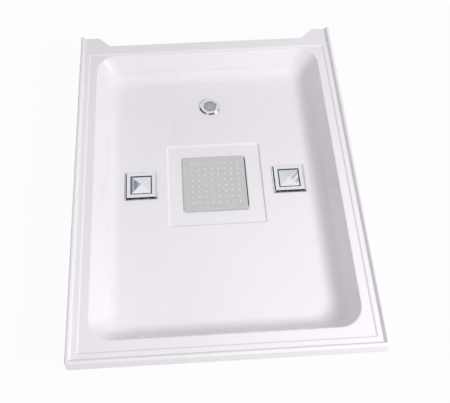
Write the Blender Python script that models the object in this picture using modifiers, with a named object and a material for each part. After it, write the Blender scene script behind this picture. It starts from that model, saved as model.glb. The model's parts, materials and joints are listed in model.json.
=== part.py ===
"""Ceiling panel of a steam shower cabin, inner side up.

A formed white sheet with a raised lip, a seat ledge and a deep dome carries a square rain head,
two square crystal lamps and one round lamp. Metres, +Z up, +Y towards the rear edge.
The origin is the centre of the seat ledge, the plane on which the panel rests on the cabin walls.
"""
import math

import bmesh
import bpy
from mathutils import Matrix, Vector

# Clearances shared by all pieces
TOUCH = 0.0003
CUT_OVERRUN = 0.002
WELD = 0.00001

# Formed sheet, overall
PANEL_WIDTH = 0.856
PANEL_LENGTH = 1.154
SHEET = 0.0035

# Rim: skirt, lip, seat ledge and step
SKIRT_HEIGHT = 0.042
SKIRT_DRAFT = 0.0015
LIP_WIDTH = 0.0155
LIP_HEIGHT = 0.009
LIP_ROUND = 0.0045
LIP_DRAFT = 0.0045
LEDGE_WIDTH = 0.0145
STEP_DROP = 0.003
STEP_RUN = 0.0045
RIM_CORNER = 0.006
STEP_CORNER = 0.004

# Rear edge: two ears with a cut-back between them
EAR_WIDTH = 0.0465
NOTCH_DEPTH = 0.038
REAR_OVERRUN = 0.060

# Dome: a drafted wall with a small round at its edge and a large one at its floor
FLANGE_SIDE = 0.0245
FLANGE_FRONT = 0.0300
STEP_REAR_SETBACK = 0.0785
FLANGE_REAR = 0.0035
DOME_DEPTH = 0.080
DOME_DRAFT = math.radians(27.0)
DOME_EDGE_ROUND = 0.004
DOME_FLOOR_ROUND = 0.055
DOME_CORNER = 0.065
DOME_FLOOR_CORNER = 0.045
CORNER_SEGMENTS = 5
EDGE_SEGMENTS = 2
FLOOR_SEGMENTS = 6

# Square recess in the dome floor, round the rain head
RECESS_SIZE = 0.300
RECESS_DEPTH = 0.004
RECESS_SLOPE = 0.006
RECESS_CORNER = 0.008
RECESS_FLOOR_CORNER = 0.005
HEAD_Y = 0.016

# Rain head
HEAD_SIZE = 0.200
HEAD_CORNER = 0.008
HEAD_BEVEL = 0.0035
HEAD_PLATE = 0.0010
HEAD_GASKET_THICK = 0.0015
HEAD_GASKET_BAND = 0.020
HEAD_BACK_THICK = 0.0012
HEAD_SEAL_THICK = 0.0008
HEAD_SEAL_BAND = 0.008
MAT_THICK = 0.0012
NOZZLE_ROWS = 8
NOZZLE_PITCH = 0.0207
NOZZLE_HOLE_RADIUS = 0.0027
NOZZLE_ROOT_RADIUS = 0.0023
NOZZLE_TIP_RADIUS = 0.0016
NOZZLE_BORE_RADIUS = 0.0007
NOZZLE_PROUD = 0.0012
HOLE_SIDES = 6
NOZZLE_SIDES = 6
BORE_SIDES = 4

# Water inlet behind the rain head
STEM_RADIUS = 0.0105
STEM_BORE_RADIUS = 0.0070
STEM_LENGTH = 0.024
THREAD_CLEARANCE = 0.0004
INLET_HOLE_CLEARANCE = 0.0010
RUBBER_WASHER_THICK = 0.0020
RUBBER_WASHER_RADIUS = 0.0190
STEEL_WASHER_THICK = 0.0015
STEEL_WASHER_RADIUS = 0.0200
LOCK_NUT_FLATS = 0.030
LOCK_NUT_THICK = 0.007
UNION_NUT_FLATS = 0.027
UNION_NUT_GRIP = 0.008
UNION_NUT_LIP = 0.002
HOSE_WASHER_THICK = 0.0020
ELBOW_COLLAR_RADIUS = 0.0102
ELBOW_COLLAR_THICK = 0.0020
ELBOW_RADIUS = 0.0078
ELBOW_BORE_RADIUS = 0.0050
ELBOW_BEND = 0.013
ELBOW_DROP = 0.006
ELBOW_BLEND = 0.0004
HOSE_TAIL_LENGTH = 0.034
HOSE_TAIL_RADIUS = 0.0062
BARB_RADIUS = 0.0074
BARB_COUNT = 3
ELBOW_RESOLUTION = 2
ELBOW_BEND_STEPS = 6
BARB_START_SHARE = 0.5
BARB_END_SHARE = 0.9

# Square lamps, measured from the dome floor; the margin is from the bezel to the foot of the dome's wall
LAMP_FLOOR_MARGIN = 0.0115
LAMP_Y = 0.018
BEZEL_SIZE = 0.102
BEZEL_FLANGE_WIDTH = 0.0045
BEZEL_FLANGE_EDGE = 0.0012
BEZEL_FLANGE_CROWN = 0.0006
BEZEL_RISER_RUN = 0.0035
BEZEL_OPENING = 0.067
BEZEL_LIP = 0.0015
BEZEL_LIP_BEVEL = 0.0005
PANEL_GASKET_THICK = 0.0010
PANEL_GASKET_INSET = 0.002
CAN_FLANGE_SIZE = 0.086
CAN_FLANGE_THICK = 0.0010
LENS_GASKET_THICK = 0.0006
LENS_GASKET_BAND = 0.0075
CRYSTAL_UNDERCUT = 0.0045
CRYSTAL_BASE = 0.0020
CRYSTAL_RISE = 0.0070
CRYSTAL_CLEARANCE = 0.0005
LAMP_CUTOUT_RADIUS = 0.040
CAN_RADIUS = 0.030
CAN_WALL = 0.0015
CAN_FLOOR = 0.003
CAN_DEPTH = 0.040
CAN_FOOT_RADIUS = 0.027
CAN_FOOT_RISE = 0.006
LED_BOARD_RADIUS = 0.024
LED_BOARD_THICK = 0.0016
LED_RADIUS = 0.008
LED_THICK = 0.0010
REFLECTOR_WALL = 0.0008
REFLECTOR_THROAT = 0.011
REFLECTOR_RIM = 0.0015
BEZEL_SCREW_INSET = 0.0025
BEZEL_SCREW_RADIUS = 0.00125
BEZEL_SCREW_CLEARANCE = 0.0003
BEZEL_SCREW_HEAD_RADIUS = 0.0023
BEZEL_SCREW_HEAD = 0.0009
BEZEL_SCREW_REACH = 0.0030
SCREW_POCKET_CLEARANCE = 0.0006

# Cable gland of every lamp
GLAND_STUB_RADIUS = 0.0058
GLAND_CLEARANCE = 0.0004
GLAND_BODY_RADIUS = 0.0085
GLAND_BODY_HEIGHT = 0.0045
GLAND_CAP_RADIUS = 0.0072
GLAND_CAP_HEIGHT = 0.0070
GLAND_BORE_RADIUS = 0.0028
GLAND_CAP_TAPER = 0.0020

# Spring clips of the square lamps: a double torsion spring on a pin
WIRE_RADIUS = 0.0007
WIRE_RESOLUTION = 1
COIL_RADIUS = 0.0024
COIL_PITCH = 0.0020
COIL_TURNS = 1.75
COIL_POINTS = 8
COIL_OUTER = 0.0065
CLIP_REACH = 0.030
CLIP_TIP = 0.0040
CLIP_TIP_DROP = 0.0026
CLIP_KNEE_SHARES = (0.25, 0.33)
PIN_DROP = 0.009
PIN_RADIUS = 0.0013
PIN_CLEARANCE = 0.0003
BRACKET_SHEET = 0.0012
BRACKET_SIDE_CLEARANCE = 0.0004
BRACKET_NOSE = 0.0024
BRACKET_ABOVE_PIN = 0.0030
BRACKET_BELOW_PIN = 0.0095
RIVET_DROP = 0.0065
RIVET_RADIUS = 0.0010
RIVET_CLEARANCE = 0.0003
RIVET_HEAD_RADIUS = 0.0020
RIVET_HEAD = 0.0008
RIVET_STANDOFF = 0.0005
PIN_HEAD_RADIUS = 0.0019
PIN_HEAD = 0.0006

# Round lamp, measured from the dome floor; the margin is from the ring to the foot of the rear wall
ROUND_FLOOR_MARGIN = 0.066
RING_RADIUS = 0.0345
RING_OPENING = 0.0220
RING_CROWN = 0.0025
RING_SHOULDER_SHARE = 0.33
ROUND_FLANGE_RADIUS = 0.0312
ROUND_FLANGE_THICK = 0.0015
ROUND_BODY_RADIUS = 0.0230
ROUND_BODY_WALL = 0.0020
ROUND_BODY_DEPTH = 0.030
ROUND_HOLE_CLEARANCE = 0.0010
ROUND_LENS_RADIUS = 0.0250
ROUND_LENS_EDGE = 0.0015
ROUND_LENS_CROWN = 0.0016
LENS_SHOULDER_SHARE = 0.75
ROUND_GASKET_THICK = 0.0006
ROUND_GASKET_BAND = 0.0035
RING_LIP = 0.0012
BACK_WASHER_THICK = 0.0020
BACK_WASHER_RADIUS = 0.0300
RING_NUT_RADIUS = 0.0310
RING_NUT_THICK = 0.0070
RING_NUT_LUG = 0.0040
RING_NUT_LUGS = 6
ROUND_BOARD_RADIUS = 0.0195
ROUND_BOARD_LIFT = 0.016
ROUND_LED_RADIUS = 0.0026
ROUND_LED_CIRCLE = 0.0110
ROUND_LED_COUNT = 6

# Facets of turned pieces
TURN_STEPS = 20
FINE_STEPS = 24
SMALL_STEPS = 10
SCREW_STEPS = 6

# Levels that follow from the sizes above
LIP_TOP = LIP_HEIGHT
FLANGE_Z = -STEP_DROP
FLOOR_Z = FLANGE_Z - DOME_DEPTH
RECESS_Z = FLOOR_Z - RECESS_DEPTH
STEP_INSET = LIP_WIDTH + LEDGE_WIDTH
STEP_HALF_WIDTH = PANEL_WIDTH / 2 - STEP_INSET - STEP_RUN
STEP_FRONT = -PANEL_LENGTH / 2 + STEP_INSET + STEP_RUN
STEP_REAR = PANEL_LENGTH / 2 - STEP_REAR_SETBACK
DOME_HALF_WIDTH = STEP_HALF_WIDTH - FLANGE_SIDE
DOME_FRONT = STEP_FRONT + FLANGE_FRONT
DOME_REAR = STEP_REAR - FLANGE_REAR
FLOOR_INSET = DOME_DEPTH * math.tan(DOME_DRAFT) + DOME_FLOOR_ROUND * math.tan((math.pi / 2 - DOME_DRAFT) / 2)
LAMP_X = DOME_HALF_WIDTH - FLOOR_INSET - LAMP_FLOOR_MARGIN - BEZEL_SIZE / 2
ROUND_Y = DOME_REAR - FLOOR_INSET - ROUND_FLOOR_MARGIN - RING_RADIUS

MODEL = "shower_cabin_ceiling"
CUTTERS = "cutters"

# Finishes: colour, metallic, roughness, transmission
FINISHES = {
    "white_sheet": ((0.90, 0.89, 0.92), 0.0, 0.22, 0.0),
    "brushed_steel": ((0.60, 0.61, 0.62), 1.0, 0.38, 0.0),
    "chrome": ((0.86, 0.87, 0.88), 1.0, 0.08, 0.0),
    "zinc_steel": ((0.62, 0.63, 0.64), 1.0, 0.35, 0.0),
    "brass": ((0.70, 0.56, 0.30), 1.0, 0.30, 0.0),
    "cast_aluminium": ((0.66, 0.67, 0.68), 1.0, 0.45, 0.0),
    "silicone": ((0.82, 0.83, 0.84), 0.0, 0.50, 0.0),
    "black_rubber": ((0.04, 0.04, 0.04), 0.0, 0.70, 0.0),
    "grey_foam": ((0.30, 0.30, 0.31), 0.0, 0.90, 0.0),
    "crystal": ((0.95, 0.97, 0.98), 0.0, 0.02, 1.0),
    "lens": ((0.70, 0.78, 0.74), 0.0, 0.10, 0.8),
    "board": ((0.85, 0.86, 0.84), 0.0, 0.45, 0.0),
    "nylon": ((0.06, 0.06, 0.065), 0.0, 0.45, 0.0),
    "white_plastic": ((0.85, 0.85, 0.85), 0.0, 0.35, 0.0),
}


def clear_scene():
    for obj in list(bpy.data.objects):
        bpy.data.objects.remove(obj, do_unlink=True)


def collection(name):
    found = bpy.data.collections.get(name)
    if found is None:
        found = bpy.data.collections.new(name)
        bpy.context.scene.collection.children.link(found)
    return found


def material(name, finish):
    colour, metallic, roughness, transmission = FINISHES[finish]
    mat = bpy.data.materials.new(name + "_" + finish)
    mat.use_nodes = True
    shader = mat.node_tree.nodes["Principled BSDF"]
    shader.inputs["Base Color"].default_value = (*colour, 1.0)
    shader.inputs["Metallic"].default_value = metallic
    shader.inputs["Roughness"].default_value = roughness
    shader.inputs["Transmission Weight"].default_value = transmission
    mat.diffuse_color = (*colour, 1.0)
    return mat


def add_piece(name, data, finish, parent=None, place=(0, 0, 0)):
    obj = bpy.data.objects.new(name, data)
    collection(MODEL).objects.link(obj)
    obj.location = place
    obj.parent = parent
    data.materials.append(material(name, finish))
    return obj


def add_cutter(name, data, parent=None, place=(0, 0, 0)):
    obj = bpy.data.objects.new(name, data)
    collection(CUTTERS).objects.link(obj)
    obj.location = place
    obj.parent = parent
    obj.hide_render = True
    obj.display_type = "WIRE"
    return obj


def add_empty(name, place, parent=None, turn=0.0):
    obj = bpy.data.objects.new(name, None)
    collection(MODEL).objects.link(obj)
    obj.location = place
    obj.rotation_euler = (0, 0, turn)
    obj.parent = parent
    return obj


def boolean(obj, cutter, operation="DIFFERENCE"):
    mod = obj.modifiers.new(cutter.name, "BOOLEAN")
    mod.operation = operation
    mod.solver = "EXACT"
    mod.object = cutter


def mesh_of(bm, name, smooth_angle=None):
    mesh = bpy.data.meshes.new(name)
    bm.normal_update()
    bm.to_mesh(mesh)
    bm.free()
    if smooth_angle is not None:
        mesh.shade_smooth()
        mesh.set_sharp_from_angle(angle=smooth_angle)
    return mesh


def add_cylinder(bm, radius, low, high, centre=(0, 0), sides=TURN_STEPS, tip=None):
    made = bmesh.ops.create_cone(bm, cap_ends=True, segments=sides, radius1=radius,
                                 radius2=radius if tip is None else tip, depth=high - low)
    bmesh.ops.translate(bm, verts=made["verts"], vec=(centre[0], centre[1], (high + low) / 2))
    return made["verts"]


def cylinder_mesh(name, radius, low, high, sides=TURN_STEPS):
    bm = bmesh.new()
    add_cylinder(bm, radius, low, high, sides=sides)
    return mesh_of(bm, name)


def profile_mesh(name, points, closed):
    """Edges in the XZ plane; the outer side runs from top to bottom."""
    bm = bmesh.new()
    verts = [bm.verts.new((x, 0, z)) for x, z in points]
    for first, second in zip(verts, verts[1:]):
        bm.edges.new((first, second))
    if closed:
        bm.edges.new((verts[-1], verts[0]))
    return mesh_of(bm, name)


def turned(name, points, finish, parent=None, place=(0, 0, 0), closed=True, steps=TURN_STEPS):
    """A profile turned about Z. A closed profile stays off the axis, an open one starts and ends on it."""
    obj = add_piece(name, profile_mesh(name, points, closed), finish, parent, place)
    turn(obj, steps)
    return obj


def turn(obj, steps):
    screw = obj.modifiers.new("turn", "SCREW")
    screw.steps = steps
    screw.render_steps = steps
    screw.use_merge_vertices = True
    screw.merge_threshold = WELD
    screw.use_smooth_shade = steps > SCREW_STEPS


def square_profile(points):
    """Half sizes of a square section as the radii of its corners, for a profile turned in four steps."""
    return [(half * math.sqrt(2), z) for half, z in points]


def ring_points(inner, outer, low, high):
    return [(outer, high), (outer, low), (inner, low), (inner, high)]


def fillet_path(points, radii, segments):
    """A polyline in two dimensions whose inner corners are rounded by arcs."""
    path = [Vector(points[0])]
    for before, corner, after, radius in zip(points, points[1:], points[2:], radii):
        corner = Vector(corner)
        incoming = (Vector(before) - corner).normalized()
        outgoing = (Vector(after) - corner).normalized()
        half_angle = incoming.angle(outgoing) / 2
        tangent = radius / math.tan(half_angle)
        centre = corner + (incoming + outgoing).normalized() * radius / math.sin(half_angle)
        start = corner + incoming * tangent - centre
        finish = corner + outgoing * tangent - centre
        sweep = start.angle_signed(finish)
        for step in range(segments + 1):
            share = step / segments
            angle = -sweep * share
            turned_start = Vector((start.x * math.cos(angle) - start.y * math.sin(angle),
                                   start.x * math.sin(angle) + start.y * math.cos(angle)))
            path.append(centre + turned_start)
    path.append(Vector(points[-1]))
    return path


def rounded_ring(half_width, front, rear, radius, z):
    """Points of a rectangle with round corners, anticlockwise from the right end of the front edge."""
    across = half_width - radius
    corners = [(across, front + radius, -math.pi / 2), (across, rear - radius, 0.0),
               (-across, rear - radius, math.pi / 2), (-across, front + radius, math.pi)]
    ring = []
    for x, y, start in corners:
        for step in range(CORNER_SEGMENTS + 1):
            angle = start + math.pi / 2 * step / CORNER_SEGMENTS
            ring.append((x + radius * math.cos(angle), y + radius * math.sin(angle), z))
    return ring


def loft(bm, rings):
    """Quads between rings with equal counts; the last ring is closed by one face."""
    rows = [[bm.verts.new(point) for point in ring] for ring in rings]
    count = len(rows[0])
    for outer, inner in zip(rows, rows[1:]):
        for index in range(count):
            following = (index + 1) % count
            bm.faces.new((outer[index], outer[following], inner[following], inner[index]))
    bm.faces.new(rows[-1])


def rim_rings():
    """From the foot of the skirt, over the lip, down to the seat ledge and over the step."""
    outer = PANEL_WIDTH / 2
    section = fillet_path([(0.0, LIP_TOP - SKIRT_HEIGHT), (SKIRT_DRAFT, LIP_TOP),
                           (LIP_WIDTH - LIP_DRAFT, LIP_TOP), (LIP_WIDTH, 0.0)],
                          [LIP_ROUND, LIP_ROUND], EDGE_SEGMENTS)
    rings = []
    for inset, z in section:
        share = inset / LIP_WIDTH
        radius = RIM_CORNER + (STEP_CORNER - RIM_CORNER) * share
        rings.append(rounded_ring(outer - inset, inset - PANEL_LENGTH / 2,
                                  PANEL_LENGTH / 2 + REAR_OVERRUN - inset, radius, z))
    rings.append(rounded_ring(STEP_HALF_WIDTH + STEP_RUN, STEP_FRONT - STEP_RUN, STEP_REAR + STEP_RUN,
                              STEP_CORNER, 0.0))
    rings.append(rounded_ring(STEP_HALF_WIDTH, STEP_FRONT, STEP_REAR, STEP_CORNER, FLANGE_Z))
    return rings


def dome_rings():
    """From the flange, over the dome's edge and down its drafted wall to the floor."""
    run = DOME_DEPTH * math.tan(DOME_DRAFT)
    wall = [(-FLANGE_SIDE, FLANGE_Z), (0.0, FLANGE_Z), (run, FLOOR_Z), (DOME_HALF_WIDTH, FLOOR_Z)]
    section = fillet_path(wall, [DOME_EDGE_ROUND, DOME_FLOOR_ROUND], FLOOR_SEGMENTS)[1:-1]
    edge, floor = section[:FLOOR_SEGMENTS + 1], section[FLOOR_SEGMENTS + 1:]
    edge = edge[::FLOOR_SEGMENTS // EDGE_SEGMENTS]
    deepest = floor[-1].x
    rings = []
    for inset, z in edge + floor:
        share = inset / deepest
        radius = DOME_CORNER + (DOME_FLOOR_CORNER - DOME_CORNER) * share
        rings.append(rounded_ring(DOME_HALF_WIDTH - inset, DOME_FRONT + inset, DOME_REAR - inset, radius, z))
    return rings


def recess_rings():
    half = RECESS_SIZE / 2
    floor_half = half - RECESS_SLOPE
    return [rounded_ring(half, HEAD_Y - half, HEAD_Y + half, RECESS_CORNER, FLOOR_Z),
            rounded_ring(floor_half, HEAD_Y - floor_half, HEAD_Y + floor_half, RECESS_FLOOR_CORNER, RECESS_Z)]


def rear_trim_mesh():
    """The outline of what is trimmed off behind the ears and between them."""
    rear = PANEL_LENGTH / 2
    side = PANEL_WIDTH / 2 + REAR_OVERRUN
    ear = PANEL_WIDTH / 2 - LIP_WIDTH - EAR_WIDTH
    outline = [(-side, rear), (-ear, rear), (-ear + NOTCH_DEPTH, rear - NOTCH_DEPTH),
               (ear - NOTCH_DEPTH, rear - NOTCH_DEPTH), (ear, rear), (side, rear),
               (side, rear + 2 * REAR_OVERRUN), (-side, rear + 2 * REAR_OVERRUN)]
    low = LIP_TOP - SKIRT_HEIGHT - CUT_OVERRUN
    high = LIP_TOP + CUT_OVERRUN
    bm = bmesh.new()
    face = bm.faces.new([bm.verts.new((x, y, low)) for x, y in outline])
    grown = bmesh.ops.extrude_face_region(bm, geom=[face])
    raised = [item for item in grown["geom"] if isinstance(item, bmesh.types.BMVert)]
    bmesh.ops.translate(bm, verts=raised, vec=(0, 0, high - low))
    bmesh.ops.recalc_face_normals(bm, faces=bm.faces)
    return mesh_of(bm, "rear_trim")


def make_shell():
    bm = bmesh.new()
    loft(bm, rim_rings() + dome_rings() + recess_rings())
    shell = add_piece("ceiling_shell", mesh_of(bm, "ceiling_shell", math.radians(30.0)), "white_sheet")
    solid = shell.modifiers.new("sheet", "SOLIDIFY")
    solid.thickness = SHEET
    solid.offset = -1.0
    solid.use_even_offset = True
    solid.use_quality_normals = True
    boolean(shell, add_cutter("rear_trim", rear_trim_mesh()))
    low = RECESS_Z - SHEET - CUT_OVERRUN
    high = FLOOR_Z + CUT_OVERRUN
    cuts = bmesh.new()
    for side in (-1, 1):
        add_cylinder(cuts, LAMP_CUTOUT_RADIUS, low, high, (side * LAMP_X, LAMP_Y), FINE_STEPS)
    add_cylinder(cuts, ROUND_BODY_RADIUS + ROUND_HOLE_CLEARANCE, low, high, (0, ROUND_Y))
    add_cylinder(cuts, STEM_RADIUS + INLET_HOLE_CLEARANCE, low, high, (0, HEAD_Y))
    boolean(shell, add_cutter("panel_holes", mesh_of(cuts, "panel_holes")))


def direction(angle):
    return Vector((math.cos(angle), math.sin(angle)))


def rounded_square(curve, half, radius, segments=2, reverse=False):
    """Adds a closed spline with the outline of a square with round corners to a 2D curve."""
    points = []
    for quarter in range(4):
        start = quarter * math.pi / 2
        centre = direction(start + math.pi / 4) * (half - radius) * math.sqrt(2)
        for step in range(segments + 1):
            points.append(centre + direction(start + math.pi / 2 * step / segments) * radius)
    add_outline(curve, reversed(points) if reverse else points)


def circle_outline(curve, radius, centre=(0, 0), sides=TURN_STEPS):
    spokes = [direction(2 * math.pi * step / sides) * radius for step in range(sides)]
    add_outline(curve, [Vector(centre) + spoke for spoke in spokes])


def add_outline(curve, points):
    points = list(points)
    spline = curve.splines.new("POLY")
    spline.points.add(len(points[1:]))
    for slot, point in zip(spline.points, points):
        slot.co = (point[0], point[1], 0, 1)
    spline.use_cyclic_u = True


def flat_curve(name, thickness):
    curve = bpy.data.curves.new(name, "CURVE")
    curve.dimensions = "2D"
    curve.fill_mode = "BOTH"
    curve.extrude = thickness / 2
    return curve


def solid_from_curve(obj, name):
    """Turns a curve object into a mesh object that Booleans can work on."""
    bpy.context.view_layer.update()
    evaluated = obj.evaluated_get(bpy.context.evaluated_depsgraph_get())
    mesh = bpy.data.meshes.new_from_object(evaluated)
    bm = bmesh.new()
    bm.from_mesh(mesh)
    bmesh.ops.remove_doubles(bm, verts=bm.verts, dist=WELD)
    bmesh.ops.recalc_face_normals(bm, faces=bm.faces)
    bm.to_mesh(mesh)
    bm.free()
    solid = bpy.data.objects.new(name, mesh)
    obj.users_collection[0].objects.link(solid)
    solid.parent = obj.parent
    solid.matrix_world = obj.matrix_world
    solid.hide_render = obj.hide_render
    solid.display_type = obj.display_type
    bpy.data.objects.remove(obj, do_unlink=True)
    return solid


def nozzle_places():
    first = -(NOZZLE_ROWS - 1) * NOZZLE_PITCH / 2
    return [(first + column * NOZZLE_PITCH, first + row * NOZZLE_PITCH)
            for row in range(NOZZLE_ROWS) for column in range(NOZZLE_ROWS)]


def head_levels():
    """Heights in the rain head, above the floor of the recess."""
    levels = {"gasket": TOUCH}
    levels["back"] = levels["gasket"] + HEAD_GASKET_THICK + TOUCH
    levels["seal"] = levels["back"] + HEAD_BACK_THICK + TOUCH
    levels["mat"] = levels["seal"] + HEAD_SEAL_THICK + TOUCH
    levels["face"] = levels["mat"] + MAT_THICK + TOUCH
    levels["top"] = levels["face"] + HEAD_PLATE
    return levels


def make_head_face(head, levels):
    """A folded tray: square with round corners, its top edge bevelled, pierced for the nozzles."""
    bm = bmesh.new()
    bmesh.ops.create_cube(bm, size=1.0)
    height = levels["top"] - TOUCH
    bmesh.ops.transform(bm, matrix=Matrix.Diagonal((HEAD_SIZE, HEAD_SIZE, height, 1.0)), verts=bm.verts)
    bmesh.ops.translate(bm, verts=bm.verts, vec=(0, 0, TOUCH + height / 2))
    upright = [edge for edge in bm.edges if abs(edge.verts[0].co.z - edge.verts[1].co.z) > height / 2]
    bmesh.ops.bevel(bm, geom=upright, offset=HEAD_CORNER, segments=4, profile=0.5, affect="EDGES",
                    material=-1)
    top = max(bm.faces, key=lambda face: face.calc_center_median().z)
    bmesh.ops.bevel(bm, geom=list(top.edges), offset=HEAD_BEVEL, segments=1, profile=0.5, affect="EDGES",
                    material=-1)
    bottom = min(bm.faces, key=lambda face: face.calc_center_median().z)
    bmesh.ops.delete(bm, geom=[bottom], context="FACES")
    face = add_piece("head_face", mesh_of(bm, "head_face"), "brushed_steel", head)
    sheet = face.modifiers.new("plate", "SOLIDIFY")
    sheet.thickness = HEAD_PLATE
    sheet.offset = -1.0
    sheet.use_even_offset = True
    holes = bmesh.new()
    for place in nozzle_places():
        add_cylinder(holes, NOZZLE_HOLE_RADIUS, levels["face"] - CUT_OVERRUN, levels["top"] + CUT_OVERRUN,
                     place, HOLE_SIDES)
    boolean(face, add_cutter("nozzle_holes", mesh_of(holes, "nozzle_holes"), head))


def make_nozzle_mat(head, levels, half):
    """A silicone sheet with a pierced conical nozzle for every hole of the face."""
    curve = flat_curve("head_nozzle_mat", MAT_THICK)
    rounded_square(curve, half, HEAD_CORNER)
    mat = add_piece("mat_sheet", curve, "silicone", head, (0, 0, levels["mat"] + MAT_THICK / 2))
    mat = solid_from_curve(mat, "head_nozzle_mat")
    tip = levels["top"] + NOZZLE_PROUD
    cones = bmesh.new()
    bores = bmesh.new()
    for place in nozzle_places():
        add_cylinder(cones, NOZZLE_ROOT_RADIUS, levels["mat"] + MAT_THICK / 2, tip, place, NOZZLE_SIDES,
                     NOZZLE_TIP_RADIUS)
        add_cylinder(bores, NOZZLE_BORE_RADIUS, levels["mat"] - CUT_OVERRUN, tip + CUT_OVERRUN, place,
                     BORE_SIDES)
    boolean(mat, add_cutter("nozzle_cones", mesh_of(cones, "nozzle_cones"), head), "UNION")
    boolean(mat, add_cutter("nozzle_bores", mesh_of(bores, "nozzle_bores"), head))


def make_square_ring(name, finish, parent, half, inner_half, low, thick, corner):
    curve = flat_curve(name, thick)
    rounded_square(curve, half, corner)
    rounded_square(curve, inner_half, corner, reverse=True)
    return add_piece(name, curve, finish, parent, (0, 0, low + thick / 2))


def make_head_back(head, levels, half):
    """The back plate with its threaded inlet stem, bored through."""
    curve = flat_curve("head_back", HEAD_BACK_THICK)
    rounded_square(curve, half, HEAD_CORNER)
    plate = add_piece("back_plate", curve, "chrome", head, (0, 0, levels["back"] + HEAD_BACK_THICK / 2))
    plate = solid_from_curve(plate, "head_back")
    stem_end = -SHEET - STEM_LENGTH
    stem = cylinder_mesh("inlet_stem", STEM_RADIUS, stem_end, levels["back"] + HEAD_BACK_THICK / 2)
    boolean(plate, add_cutter("inlet_stem", stem, head), "UNION")
    bore = cylinder_mesh("inlet_bore", STEM_BORE_RADIUS, stem_end - CUT_OVERRUN, levels["seal"] + CUT_OVERRUN)
    boolean(plate, add_cutter("inlet_bore", bore, head))
    return stem_end


def hex_nut(name, finish, parent, flats, low, high, bore, lip_bore=None, lip=0.0):
    """A hexagonal nut; with a lip, its bore narrows at the lower end."""
    bm = bmesh.new()
    add_cylinder(bm, flats / math.sqrt(3), low, high, sides=6)
    nut = add_piece(name, mesh_of(bm, name), finish, parent)
    cut = bmesh.new()
    add_cylinder(cut, bore, low + lip if lip else low - CUT_OVERRUN, high + CUT_OVERRUN)
    boolean(nut, add_cutter(name + "_bore", mesh_of(cut, name + "_bore"), parent))
    if lip:
        throat = cylinder_mesh(name + "_throat", lip_bore, low - CUT_OVERRUN, low + lip + CUT_OVERRUN)
        boolean(nut, add_cutter(name + "_throat", throat, parent))
    return nut


def tube_curve(name, points, radius, resolution):
    """A round bar along 3D points; each point is a place and a radius."""
    curve = bpy.data.curves.new(name, "CURVE")
    curve.dimensions = "3D"
    curve.bevel_depth = radius
    curve.bevel_resolution = resolution
    curve.use_fill_caps = True
    spline = curve.splines.new("POLY")
    spline.points.add(len(points[1:]))
    for slot, (place, own_radius) in zip(spline.points, points):
        slot.co = (*place, 1)
        slot.radius = own_radius / radius
    return curve


def elbow_route(top):
    """The elbow's centre line: straight down, a quarter bend, then level towards the rear."""
    low = top - ELBOW_COLLAR_THICK - UNION_NUT_LIP - ELBOW_DROP
    bend = [(0.0, ELBOW_BEND * (1 - math.cos(angle)), low - ELBOW_BEND * math.sin(angle))
            for angle in [math.pi / 2 * step / ELBOW_BEND_STEPS for step in range(ELBOW_BEND_STEPS + 1)]]
    return low, bend


def make_elbow(head, top):
    low, bend = elbow_route(top)
    collar_end = top - ELBOW_COLLAR_THICK
    points = [((0, 0, top), ELBOW_COLLAR_RADIUS), ((0, 0, collar_end), ELBOW_COLLAR_RADIUS),
              ((0, 0, collar_end - ELBOW_BLEND), ELBOW_RADIUS)]
    points += [(place, ELBOW_RADIUS) for place in bend]
    level = bend[-1][2]
    start = ELBOW_BEND + ELBOW_DROP
    points += [((0, start, level), ELBOW_RADIUS), ((0, start + ELBOW_BLEND, level), HOSE_TAIL_RADIUS)]
    barb = (HOSE_TAIL_LENGTH - ELBOW_BLEND) / (BARB_COUNT + 1)
    for index in range(BARB_COUNT):
        foot = start + ELBOW_BLEND + barb * (index + BARB_START_SHARE)
        points += [((0, foot, level), HOSE_TAIL_RADIUS), ((0, foot + ELBOW_BLEND, level), BARB_RADIUS),
                   ((0, foot + barb * BARB_END_SHARE, level), HOSE_TAIL_RADIUS)]
    end = start + HOSE_TAIL_LENGTH
    points.append(((0, end, level), HOSE_TAIL_RADIUS))
    bar = tube_curve("hose_elbow", points, ELBOW_RADIUS, ELBOW_RESOLUTION)
    body = solid_from_curve(add_piece("elbow_bar", bar, "brass", head), "hose_elbow")
    bore = [((0, 0, top + CUT_OVERRUN), ELBOW_BORE_RADIUS)] + [(place, ELBOW_BORE_RADIUS) for place in bend]
    bore.append(((0, end + CUT_OVERRUN, level), ELBOW_BORE_RADIUS))
    bar = tube_curve("elbow_bore", bore, ELBOW_BORE_RADIUS, ELBOW_RESOLUTION)
    cutter = add_cutter("elbow_bore_bar", bar, head)
    boolean(body, solid_from_curve(cutter, "elbow_bore"))


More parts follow.
